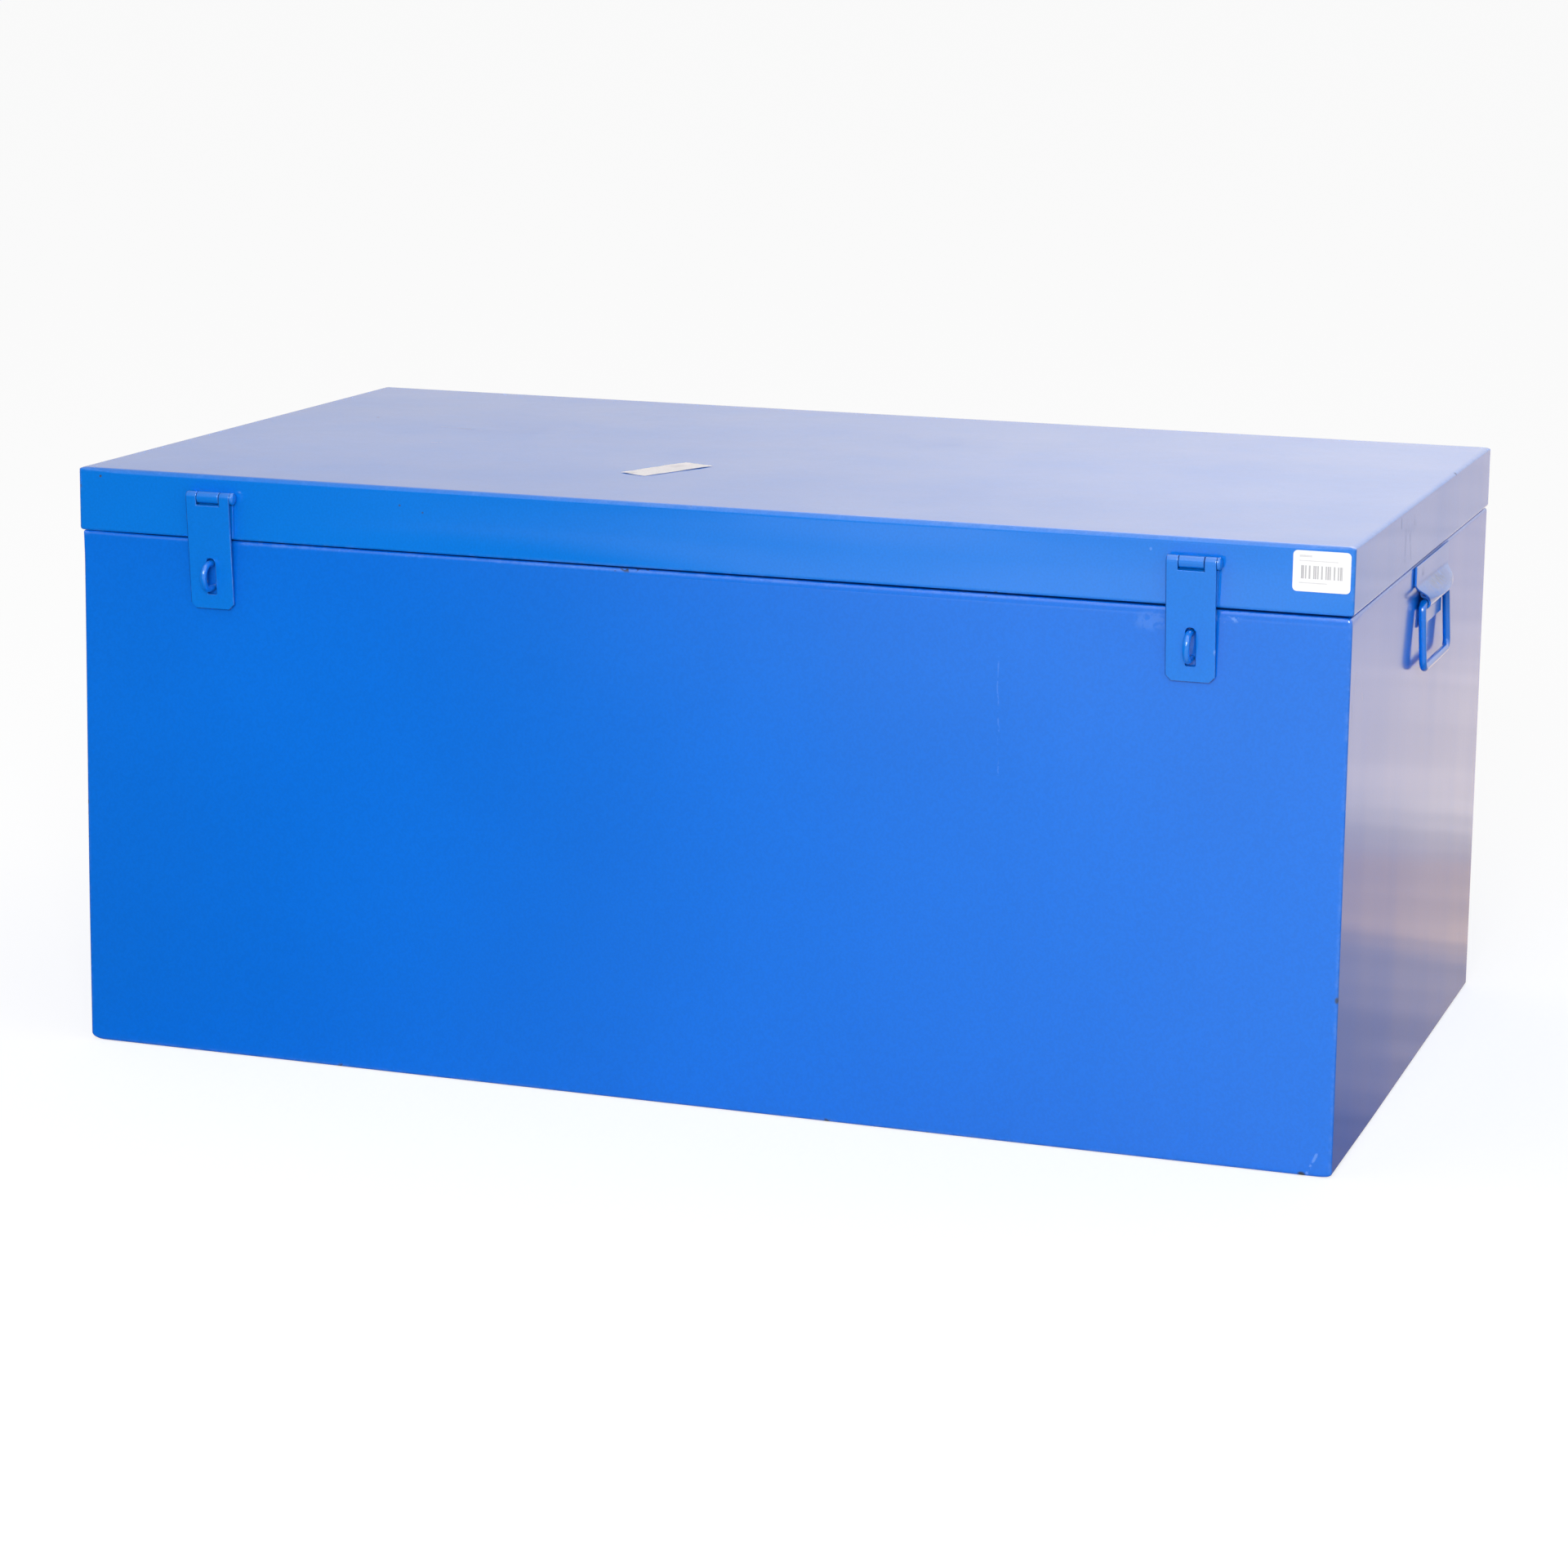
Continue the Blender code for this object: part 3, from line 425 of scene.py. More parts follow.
def finishPiece(name, shape, material, body, nodes=()):
    for face in shape.faces:
        face.smooth = True
    for edge in shape.edges:
        if len(edge.link_faces) == 2:
            edge.smooth = edge.calc_face_angle() < softFold
    mesh = bpy.data.meshes.new(name)
    shape.to_mesh(mesh)
    shape.free()
    mesh.materials.append(material)
    piece = bpy.data.objects.new(name, mesh)
    scene.collection.objects.link(piece)
    # Flat sheet stays flat right up to its folds
    even = piece.modifiers.new("evenNormals", "WEIGHTED_NORMAL")
    even.keep_sharp = True
    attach(piece, body)
    if nodes:
        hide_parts(*nodes)
    return piece


def rounded(shape, edges, radius, steps, clamp=False):
    return bmesh.ops.bevel(
        shape, geom=edges, offset=radius, offset_type="OFFSET", segments=steps, profile=0.5,
        affect="EDGES", material=-1, clamp_overlap=clamp, loop_slide=True)


def plainBox(low, high):
    shape = bmesh.new()
    bmesh.ops.create_cube(shape, size=1)
    bmesh.ops.scale(shape, vec=Vector(high) - Vector(low), verts=shape.verts)
    bmesh.ops.translate(shape, vec=(Vector(high) + Vector(low)) / 2, verts=shape.verts)
    return shape


def dropFaces(shape, test):
    bmesh.ops.delete(shape, geom=[face for face in shape.faces if test(face)], context="FACES_ONLY")


def rimEdges(shape, height):
    return [edge for edge in shape.edges
            if edge.is_boundary and all(abs(vert.co.z - height) < 1e-5 for vert in edge.verts)]


def pullRim(shape, edges, inset=0.0, rise=0.0, middle=Vector((0, 0, 0))):
    made = bmesh.ops.extrude_edge_only(shape, edges=edges)["geom"]
    verts = [item for item in made if isinstance(item, bmesh.types.BMVert)]
    reach = [max(abs(vert.co[axis] - middle[axis]) for vert in verts) for axis in (0, 1)]
    factor = Vector((1 - inset / reach[0], 1 - inset / reach[1], 1))
    bmesh.ops.scale(shape, vec=factor, verts=verts, space=Matrix.Translation(-middle))
    bmesh.ops.translate(shape, vec=(0, 0, rise), verts=verts)
    return [item for item in made if isinstance(item, bmesh.types.BMEdge) and item.is_boundary]


def foldEdges(shape):
    return [edge for edge in shape.edges
            if len(edge.link_faces) == 2 and edge.calc_face_angle() > math.radians(60)
            and abs(edge.verts[0].co.z - edge.verts[1].co.z) < 1e-5]


def cutAcross(shape, axis, spots):
    for spot in spots:
        point, normal = [0, 0, 0], [0, 0, 0]
        point[axis], normal[axis] = spot, 1
        geom = shape.verts[:] + shape.edges[:] + shape.faces[:]
        bmesh.ops.bisect_plane(shape, geom=geom, dist=1e-6, plane_co=point, plane_no=normal)


def evenly(low, high, count):
    return [low + (high - low) * step / count for step in range(1, count)]


waveForm = {"along": 1.7, "across": 1.3, "even": 0.55, "uneven": 0.9}


def sheetBow(shape, low, high, axes, depth, seed):
    # Flat sheet is never quite flat: a shallow bow and a slow wave that die out at the folds
    for axis in axes:
        first, second = [other for other in (0, 1, 2) if other != axis]
        for vert in shape.verts:
            sideways = 1 if vert.co[axis] > (low[axis] + high[axis]) / 2 else -1
            face = high[axis] if sideways > 0 else low[axis]
            if abs(vert.co[axis] - face) > 1e-5:
                continue
            u = 2 * (vert.co[first] - low[first]) / (high[first] - low[first]) - 1
            v = 2 * (vert.co[second] - low[second]) / (high[second] - low[second]) - 1
            window = max(0.0, 1 - u ** 4) * max(0.0, 1 - v ** 4)
            layer = seed + axis * 7 + sideways * 3
            wave = noise.noise(Vector((u * waveForm["along"], v * waveForm["across"], layer)))
            sag = waveForm["even"] + waveForm["uneven"] * wave
            vert.co[axis] -= sideways * window * depth * sag


# Folded body: four walls, a ledge and collar at the rim, a flange below
bodyForm = {
    "low": (-0.533, -0.305, 0.0),
    "high": (0.533, 0.305, 0.4357),
    "sheet": 0.0015,
    "corner": 0.0026,
    "bend": 0.0028,
    "rim": 0.0030,
    "ledge": 0.014,
    "collar": 0.016,
    "flange": 0.018,
    "bow": 0.0008,
    "grid": (32, 26, 18),
    "rollSpan": (-0.30, 0.40),
    "rollFront": (-0.262, -0.302),
    "pullIn": 0.0019,
    "seamRise": (0.0008, 0.00065),
    "endRise": 0.0007,
    "leftRim": 0.35,
    "frontRim": (1.4, 2.5),
    "knock": (0.011, 0.0036),
}


def uprightEdges(shape):
    return [edge for edge in shape.edges
            if (edge.verts[0].co.xy - edge.verts[1].co.xy).length < 1e-6]


def onOuterSkin(edge, high):
    # On the outer skin, where the walls are, and not at the inner end of a ledge or flange
    reach = [max(abs(vert.co.x) - high.x, abs(vert.co.y) - high.y) for vert in edge.verts]
    return max(abs(value) for value in reach) < 1e-5 or min(reach) > -0.004


def share(value, start, end):
    # From 0 at start to 1 at end, easing in and out
    part = min(max((value - start) / (end - start), 0.0), 1.0)
    return part * part * (3 - 2 * part)


def settleCorners(shape, form, low, high):
    # The front rim rolls fuller to the right, the left front corner leans in under the lid,
    # the seam narrows to the left, and the front corners are knocked round at the foot
    reach, lift = form["knock"]
    along, atEnd = form["seamRise"]
    tight, full = form["frontRim"]
    for vert in shape.verts:
        roll = tight + (full - tight) * share(vert.co.x, *form["rollSpan"])
        drop = high.z - vert.co.z
        if 0 < drop < form["rim"] + 1e-6:
            vert.co.z = high.z - drop * (1 + (roll - 1) * share(vert.co.y, *form["rollFront"]))
        tighter = 1 - (1 - form["leftRim"]) * share(vert.co.x, low.x + 0.008, low.x + 0.004)
        if vert.co.x < low.x + 0.004 and drop < form["rim"] + 1e-6:
            vert.co.x = low.x + (vert.co.x - low.x) * tighter
            vert.co.z = high.z - (high.z - vert.co.z) * tighter
        toFront = share(vert.co.y, -0.12, low.y)
        toCorner = toFront * share(vert.co.x, -0.45, low.x) * share(vert.co.z, 0.10, high.z)
        vert.co.x += form["pullIn"] * toCorner
        rise = along * share(vert.co.x, 0.45, -0.45) + atEnd * share(vert.co.x, -0.47, -0.53)
        rise += form["endRise"] * share(vert.co.x, 0.515, 0.531) * share(vert.co.y, -0.30, -0.16)
        vert.co.z += rise * share(vert.co.z, 0.39, 0.43)
        inward = min(vert.co.x - low.x, high.x - vert.co.x) / reach
        if inward < 1 and vert.co.z < lift * 4:
            harder = 1.0 if vert.co.x < 0 else 0.4
            vert.co.z += harder * toFront * lift * (1 - inward) ** 2 * (1 - vert.co.z / (lift * 4))


def outward(shape):
    # The walls face away from the middle when the sheet's outer side is the front
    score = sum(face.calc_area() * face.normal.dot(face.calc_center_median() * Vector((1, 1, 0)))
                for face in shape.faces if abs(face.normal.z) < 0.3)
    return score > 0


def makeBody(form):
    low, high = Vector(form["low"]), Vector(form["high"])
    shape = plainBox(low, high)
    dropFaces(shape, lambda face: abs(face.normal.z) > 0.5)
    rounded(shape, uprightEdges(shape), form["corner"], 5)
    rim = pullRim(shape, rimEdges(shape, high.z), inset=form["ledge"])
    pullRim(shape, rim, rise=form["collar"])
    pullRim(shape, rimEdges(shape, low.z), inset=form["flange"])
    bmesh.ops.recalc_face_normals(shape, faces=shape.faces)
    outer = [edge for edge in foldEdges(shape) if onOuterSkin(edge, high)]
    rounded(shape, [edge for edge in outer if edge.verts[0].co.z > high.z / 2], form["rim"], 7)
    rounded(shape, foldEdges(shape), form["bend"], 5)
    for axis, count in enumerate(form["grid"]):
        cutAcross(shape, axis, evenly(low[axis], high[axis], count))
    knock = form["knock"][0]
    cutAcross(shape, 0, [side * (high.x - knock * part) for side in (-1, 1) for part in (0.4, 0.7, 1.0)])
    sheetBow(shape, low, high, (0, 1), form["bow"], 2.0)
    settleCorners(shape, form, low, high)
    if not outward(shape):
        bmesh.ops.reverse_faces(shape, faces=shape.faces)
    bmesh.ops.solidify(shape, geom=shape.faces[:], thickness=form["sheet"])
    return finishPiece("bodyShell", shape, bodyPaint, "chest", ["body_walls"])


makeBody(bodyForm)
print("body folded")


# Folded lid: flat top, four skirts and a turned-in return
lidForm = {
    "low": (-0.534, -0.306, 0.4375),
    "high": (0.534, 0.305, 0.490),
    "sheet": 0.0015,
    "corner": 0.0026,
    "fold": 0.0050,
    "endFold": 0.4,
    "bend": 0.0024,
    "return": 0.008,
    "bow": 0.0010,
    "grid": (32, 24, 4),
}


def sharpenEnds(shape, form, high):
    # The end folds are struck tighter than the front one
    for vert in shape.verts:
        drop = high.z - vert.co.z
        if drop < form["fold"] + 1e-6:
            nearEnd = share(abs(vert.co.x), 0.49, high.x - form["fold"])
            vert.co.z = high.z - drop * (1 - (1 - form["endFold"]) * nearEnd)


def cornerSeam(edge, low, high):
    # Both ends are equally far in from the end and from the front or back
    for vert in edge.verts:
        inX = min(vert.co.x - low.x, high.x - vert.co.x)
        inY = min(vert.co.y - low.y, high.y - vert.co.y)
        if abs(inX - inY) > 1e-5:
            return False
    return True


def makeLid(form):
    low, high = Vector(form["low"]), Vector(form["high"])
    middle = (low + high) / 2
    shape = plainBox(low, high)
    dropFaces(shape, lambda face: face.normal.z < -0.5)
    top = [edge for edge in shape.edges if all(vert.co.z > middle.z for vert in edge.verts)]
    rounded(shape, top, form["fold"], 6)
    seams = [edge for edge in shape.edges
             if len(edge.link_faces) == 2 and edge.calc_face_angle() > math.radians(12)
             and abs(edge.verts[0].co.z - edge.verts[1].co.z) > 1e-6
             and cornerSeam(edge, low, high)]
    rounded(shape, seams, form["corner"], 4)
    bmesh.ops.remove_doubles(shape, verts=shape.verts, dist=1e-6)
    pullRim(shape, rimEdges(shape, low.z), inset=form["return"], middle=middle)
    bmesh.ops.recalc_face_normals(shape, faces=shape.faces)
    rounded(shape, [edge for edge in foldEdges(shape) if edge.verts[0].co.z < middle.z], form["bend"], 5)
    for axis, count in enumerate(form["grid"]):
        cutAcross(shape, axis, evenly(low[axis], high[axis], count))
    sharpenEnds(shape, form, high)
    sheetBow(shape, low, high, (1, 2), form["bow"], 5.0)
    if not outward(shape):
        bmesh.ops.reverse_faces(shape, faces=shape.faces)
    bmesh.ops.solidify(shape, geom=shape.faces[:], thickness=form["sheet"])
    return finishPiece("lidShell", shape, lidPaint, "lid", ["lid_pan"])


makeLid(lidForm)
print("lid folded")


# Paper on the lid: a plain label on its front, and a torn scrap of another on its top
labelForm = {
    "low": (0.4867, 0.4546),
    "high": (0.5307, 0.4857),
    "corner": 0.0034,
    "cells": (8, 5),
    "paper": 0.0003,
    "white": (0.93, 0.93, 0.925),
    "ink": (0.16, 0.14, 0.18, 1),
    "stripes": ((0.4915, -1, 0.4643), (0.5245, 1, 0.4745)),
    "stripePitches": ((0.00310, 0.30), (0.00475, 0.22)),
    "rules": (
        ((0.4915, -1, 0.4806), (0.5010, 1, 0.4824)),
        ((0.4915, -1, 0.4775), (0.5210, 1, 0.4784)),
        ((0.4915, -1, 0.4607), (0.5130, 1, 0.4617)),
    ),
}


def makePrintedBox():
    inputs = {"Place": "vector", "Low": "vector", "High": "vector"}
    tree, given, result = newGroup("printedBox", inputs, {"Mask": "value"})
    past = parts(tree, vectorCalc(tree, "SUBTRACT", given["Place"], given["Low"])[0])
    short = parts(tree, vectorCalc(tree, "SUBTRACT", given["High"], given["Place"])[0])
    across = calc(tree, "MINIMUM", past[0], short[0])
    along = calc(tree, "MINIMUM", past[2], short[2])
    tree.links.new(fade(tree, calc(tree, "MINIMUM", across, along), -0.0001, 0.0002), result["Mask"])
    return tree


def makeLabelPaper(form):
    material, tree, place = newMaterial("labelPaper")
    printedBox = makePrintedBox()
    fibre = fade(tree, cloud(tree, place, 900.0, 3.0), 0.3, 0.7, 0.97, 1.02)
    colour = scaled(tree, form["white"], fibre)
    for low, high in form["rules"]:
        mask = placeGroup(tree, printedBox, {"Place": place, "Low": low, "High": high})["Mask"]
        colour = mixed(tree, calc(tree, "MULTIPLY", mask, 0.28), colour, form["ink"])
    low, high = form["stripes"]
    block = placeGroup(tree, printedBox, {"Place": place, "Low": low, "High": high})["Mask"]
    across = parts(tree, place)[0]
    stripes = 0.0
    for pitch, filled in form["stripePitches"]:
        phase = calc(tree, "FRACT", calc(tree, "DIVIDE", across, pitch))
        stripes = calc(tree, "MAXIMUM", stripes, fade(tree, phase, filled, filled + 0.06, 1.0, 0.0))
    ink = calc(tree, "MULTIPLY", calc(tree, "MULTIPLY", block, stripes), 0.55)
    colour = mixed(tree, ink, colour, form["ink"])
    bump = put(tree, "ShaderNodeBump", {
        "Height": cloud(tree, place, 320.0, 3.0), "Strength": 0.15, "Distance": 0.0002})
    shader = put(tree, "ShaderNodeBsdfPrincipled", {
        "Base Color": colour, "Roughness": 0.5, "Normal": bump.outputs[0]})
    closeMaterial(tree, shader.outputs[0])
    return material


def onLid(shape, axis, paper, lift):
    # Follows the lid's bowed sheet and lies a hair above it
    low, high = Vector(lidForm["low"]), Vector(lidForm["high"])
    sheetBow(shape, low, high, (axis,), lidForm["bow"], 5.0)
    side = 1 if axis == 2 else -1
    for vert in shape.verts:
        vert.co[axis] += side * (paper + lift(vert.co))
    made = bmesh.ops.extrude_face_region(shape, geom=shape.faces[:])["geom"]
    for item in made:
        if isinstance(item, bmesh.types.BMVert):
            item.co[axis] -= side * paper * 0.7
    bmesh.ops.recalc_face_normals(shape, faces=shape.faces)


def makeLabel(form):
    (x0, z0), (x1, z1) = form["low"], form["high"]
    y = lidForm["low"][1]
    shape = bmesh.new()
    corners = [shape.verts.new(spot) for spot in ((x0, y, z0), (x1, y, z0), (x1, y, z1), (x0, y, z1))]
    shape.faces.new(corners)
    bmesh.ops.bevel(
        shape, geom=corners, offset=form["corner"], offset_type="OFFSET", segments=6, profile=0.5,
        affect="VERTICES", material=-1)
    cutAcross(shape, 0, evenly(x0, x1, form["cells"][0]))
    cutAcross(shape, 2, evenly(z0, z1, form["cells"][1]))
    onLid(shape, 1, form["paper"], lambda spot: 0.0)
    return finishPiece("plainLabel", shape, makeLabelPaper(form), "lid")


scrapForm = {
    "corners": ((-0.1114, -0.1544), (-0.0836, -0.0744), (-0.0554, -0.0874), (-0.0860, -0.1658)),
    "cells": (9, 24),
    "ragged": 0.0007,
    "raggedScale": 160.0,
    "otherWay": (31.7, 12.9, 0),
    "crumple": 0.0005,
    "paper": 0.0003,
    "white": (0.93, 0.90, 0.91),
    "soiled": (0.62, 0.58, 0.60, 1),
}


def makeScrapPaper(form):
    material, tree, place = newMaterial("scrapPaper")
    fibre = fade(tree, cloud(tree, place, 700.0, 3.0), 0.3, 0.7, 0.94, 1.03)
    colour = scaled(tree, form["white"], fibre)
    soil = fade(tree, cloud(tree, place, 60.0, 3.0), 0.52, 0.72, 0.0, 0.5)
    colour = mixed(tree, soil, colour, form["soiled"])
    sockets = {"Vector": place, "Scale": 130.0}
    creases = put(tree, "ShaderNodeTexVoronoi", sockets, feature="DISTANCE_TO_EDGE")
    bump = put(tree, "ShaderNodeBump", {"Height": creases.outputs[0], "Strength": 0.25, "Distance": 0.001})
    shader = put(tree, "ShaderNodeBsdfPrincipled", {
        "Base Color": colour, "Roughness": 0.75, "Normal": bump.outputs[0]})
    closeMaterial(tree, shader.outputs[0])
    return material


def makeScrap(form):
    z = lidForm["high"][2]
    left, top, right, bottom = (Vector(spot) for spot in form["corners"])
    shape = bmesh.new()
    bmesh.ops.create_grid(shape, x_segments=form["cells"][0], y_segments=form["cells"][1], size=0.5)
    for vert in shape.verts:
        across, along = vert.co.x + 0.5, vert.co.y + 0.5
        spot = left.lerp(top, along).lerp(bottom.lerp(right, along), across)
        vert.co = (spot.x, spot.y, z)
    for vert in shape.verts:
        if vert.is_boundary:
            here = vert.co * form["raggedScale"]
            there = here + Vector(form["otherWay"])
            tear = Vector((noise.noise(here), noise.noise(there), 0))
            vert.co += tear * form["ragged"]

    def crumple(spot):
        folds = abs(noise.noise(spot * 34.0)) + 0.5 * abs(noise.noise(spot * 90.0))
        return form["crumple"] * folds

    onLid(shape, 2, form["paper"], crumple)
    return finishPiece("tornScrap", shape, makeScrapPaper(form), "lid")


makeLabel(labelForm)
makeScrap(scrapForm)
print("paper laid")


# Plates and pins: the CAD shape with its sharp edges eased, as thick enamel leaves them
def easedCopy(node, rounding, also=None):
    shape = bmesh.new()
    shape.from_mesh(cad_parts[node].data)
    bmesh.ops.remove_doubles(shape, verts=shape.verts, dist=1e-5)
    bmesh.ops.dissolve_limit(
        shape, angle_limit=math.radians(1.0), verts=shape.verts, edges=shape.edges)
    if also:
        also(shape)
    wear = shape.faces.layers.float.new("wear")
    shade = shape.faces.layers.float.new("shade")
    sharp = [edge for edge in shape.edges
             if len(edge.link_faces) == 2 and edge.calc_face_angle() > math.radians(38)]
    made = rounded(shape, sharp, rounding, fittings["steps"], clamp=True)
    for face in made["faces"]:
        face[wear] = 1.0
    # Painted shade on the strap plates: faces turned down or to the left get 0.75, the right sides 0.5,
    # darkening them where the strap's shadow falls
    if "strap" in node:
        for face in shape.faces:
            down, aside = -face.normal.z, abs(face.normal.x)
            face[shade] = 0.75 if max(down, -face.normal.x) > 0.35 else 0.5 if aside > 0.9 else 0.0
    return shape


fittings = {
    "rounding": 0.0005,
    "strapRounding": 0.0007,
    "hingeRounding": 0.0003,
    "pinRounding": 0.0002,
    "steps": 2,
    "slotFoot": 0.0012,
    "slotWidth": 0.0078,
    "sheet": 0.0025,
    "guardRise": 0.0033,
    "lipDrop": 0.0011,
}


def roundSlot(shape):
    # The slot's lower corners are eased
    middle = sum((vert.co.x for vert in shape.verts), 0.0) / len(shape.verts)
    half = fittings["slotWidth"] / 2
    through = [edge for edge in shape.edges
               if abs(edge.calc_length() - fittings["sheet"]) < 2e-4
               and edge.calc_face_angle(0) > math.radians(60)
               and all(abs(abs(vert.co.x - middle) - half) < 4e-4 for vert in edge.verts)]
    rounded(shape, through, fittings["slotFoot"], 3)


def settleGuard(shape):
    # The guard's top edge comes up to the seam, and its lip a little lower
    top = max(vert.co.z for vert in shape.verts)
    foot = min(vert.co.z for vert in shape.verts)
    for vert in shape.verts:
        if vert.co.z > top - 1e-4:
            vert.co.z += fittings["guardRise"]
        vert.co.z -= fittings["lipDrop"] * share(vert.co.z, foot + 0.004, foot)


plates = (
    ("strapPlate", "hasp_strap", "strapRounding", fittingPaint, "{}_strap", "fitting_paint", roundSlot),
    ("haspBase", "hasp_base", "rounding", fittingPaint, "lid", "fitting_paint", None),
    ("haspPin", "hasp_pin", "pinRounding", fittingPaint, "lid", "fitting_paint", None),
    ("handleSaddle", "handle_saddle", "rounding", fittingPaint, "chest", "fitting_paint", None),
    ("handleVisor", "handle_visor", "rounding", fittingPaint, "chest", "fitting_paint", settleGuard),
    ("stayLug", "stay_lug", "hingeRounding", fittingPaint, "lid", "fitting_paint", None),
    ("stayArm", "stay_arm", "hingeRounding", zincPlate, "{}_stay", "zinc_plate", None),
    ("stayRivet", "stay_rivet", "pinRounding", zincPlate, "lid", "zinc_plate", None),
    ("stayStud", "stay_stud", "pinRounding", zincPlate, "chest", "zinc_plate", None),
    ("lidStiffener", "lid_stiffener", "hingeRounding", lidPaint, "lid", "lid_paint", None),
)
for word in ("left", "right"):
    for piece, node, rounding, paint, body, slotName, also in plates:
        shape = easedCopy(f"{node}_{word}", fittings[rounding], also)
        finishPiece(f"{piece}_{word}", shape, paint, body.format(word), [f"{node}_{word}"])
for word in ("left", "centre", "right"):
    for part, body in (("body_leaf", "chest"), ("lid_leaf", "lid"), ("pin", "chest")):
        rounding = fittings["pinRounding"] if part == "pin" else fittings["hingeRounding"]
        finishPiece(f"hinge_{part}_eased_{word}", easedCopy(f"hinge_{part}_{word}", rounding),
                    fittingPaint, body, [f"hinge_{part}_{word}"])
finishPiece("floorSheet", easedCopy("floor_panel", fittings["hingeRounding"]),
            bodyPaint, "chest", ["floor_panel"])
print("plates and pins eased")


# Round bar, drawn along straight runs and bends
def bentRod(start, aim, radius, moves, sides=24, steps=14):
    shape = bmesh.new()
    place, heading = Vector(start), Vector(aim)
    turn = Vector((0, 0, 1)).rotation_difference(heading).to_matrix().to_4x4()
    bmesh.ops.create_circle(
        shape, segments=sides, radius=radius, matrix=Matrix.Translation(place) @ turn)
    edges = shape.edges[:]
    for move in moves:
        if len(move) == 1:
            made = bmesh.ops.extrude_edge_only(shape, edges=edges)["geom"]
            verts = [item for item in made if isinstance(item, bmesh.types.BMVert)]
            bmesh.ops.translate(shape, vec=heading * move[0], verts=verts)
            ends = set(verts)
            edges = [item for item in made if isinstance(item, bmesh.types.BMEdge)
                     and all(vert in ends for vert in item.verts)]
            place = place + heading * move[0]
        else:
            bend, angle, axis = move[0], move[1], Vector(move[2])
            centre = place + axis.cross(heading) * math.copysign(bend, angle)
            made = bmesh.ops.spin(shape, geom=edges, cent=centre, axis=axis, angle=angle, steps=steps)
            edges = [item for item in made["geom_last"] if isinstance(item, bmesh.types.BMEdge)]
            swing = Matrix.Rotation(angle, 3, axis)
            place = centre + swing @ (place - centre)
            heading = swing @ heading
    bmesh.ops.remove_doubles(shape, verts=shape.verts, dist=1e-5)
    rims = [edge for edge in shape.edges if edge.is_boundary]
    if rims:
        bmesh.ops.holes_fill(shape, edges=rims, sides=0)
    bmesh.ops.recalc_face_normals(shape, faces=shape.faces)
    shape.faces.layers.float.new("wear")
    shape.faces.layers.float.new("shade")
    return shape


bailForm = {
    "rod": 0.0064,
    "width": 0.110,
    "drop": 0.053,
    "bend": 0.008,
    "bar": (0.5372, 0.024, 0.403),
    "lean": 3.0,
}
stapleForm = {"rod": 0.0055, "height": 0.026}
quarter = math.pi / 2

for word, side in (("left", -1), ("right", 1)):
    across = bailForm["width"] - 2 * bailForm["bend"]
    upright = bailForm["drop"] - 2 * bailForm["bend"]
    bar = Vector(bailForm["bar"]) * Vector((side, 1, 1))
    start = bar - Vector((0, across / 2, 0))
    bends = (bailForm["bend"], -quarter, (1, 0, 0))
    moves = [(across,), bends, (upright,), bends, (across,), bends, (upright,), bends]
    ring = bentRod(start, (0, 1, 0), bailForm["rod"] / 2, moves)
    lean = Matrix.Rotation(-side * math.radians(bailForm["lean"]), 3, "Y")
    bmesh.ops.rotate(ring, cent=bar, matrix=lean, verts=ring.verts)
    finishPiece(f"bailRing_{word}", ring,
                fittingPaint, f"{word}_bail", [f"handle_bail_{word}"])
    low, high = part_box(f"hasp_staple_{word}")
    half = (stapleForm["height"] - stapleForm["rod"]) / 2
    centreZ = (low.z + high.z) / 2
    start = Vector(((low.x + high.x) / 2, high.y, centreZ + half))
    legs = high.y - low.y - stapleForm["rod"] / 2 - half
    moves = [(legs,), (half, 2 * quarter, (1, 0, 0)), (legs,)]
    finishPiece(f"stapleLoop_{word}", bentRod(start, (0, -1, 0), stapleForm["rod"] / 2, moves),
                fittingPaint, "chest", [f"hasp_staple_{word}"])
print("round bars bent")


# Plain pale floor, which keeps the chest's shadow
studio = {
    "ambient": 0.60,
    # Glow the floor shows to glossy rays, from under the chest backwards; its dark first stops are a
    # painted shadow of the chest
    "floorGlow": (
        (0.07, (0.18, 0.14, 0.14)),
        (0.17, (0.34, 0.28, 0.26)),
        (0.280, (0.40, 0.33, 0.30)),
        (0.314, (0.71, 0.52, 0.37)),
        (0.408, (0.67, 0.50, 0.385)),
        (0.429, (0.54, 0.44, 0.385)),
        (0.450, (0.68, 0.58, 0.51)),
        (0.490, (0.86, 0.75, 0.67)),
        (0.56, (0.93, 0.80, 0.72)),
        (0.68, (0.90, 0.78, 0.72)),
        (0.96, (0.775, 0.69, 0.70)),
    ),
    "glowScale": 1.2,
    "glowFar": (0.16, 0.12, 0.05),
    "floorTone": (0.64, 0.64, 0.64, 1),
    "seenGlow": (0.70, 0.70, 0.70, 1),
    "seenTone": (0.42, 0.42, 0.42, 1),
    "skyTint": (1.0, 0.965, 0.985),
    "white": (1, 1, 1, 1),
    "size": 90,
    "below": 0.0005,
    "keyPower": 86.0,
    "keySize": (1.6, 1.0),
    "keyAim": (0.22, -0.92, 0.32),
    "keyTarget": (0, 0, 0.25),
    "keyDistance": 4.2,
    "sparkAim": (0.20, -0.80, 0.56),
    "sparkLevel": 38.0,
}


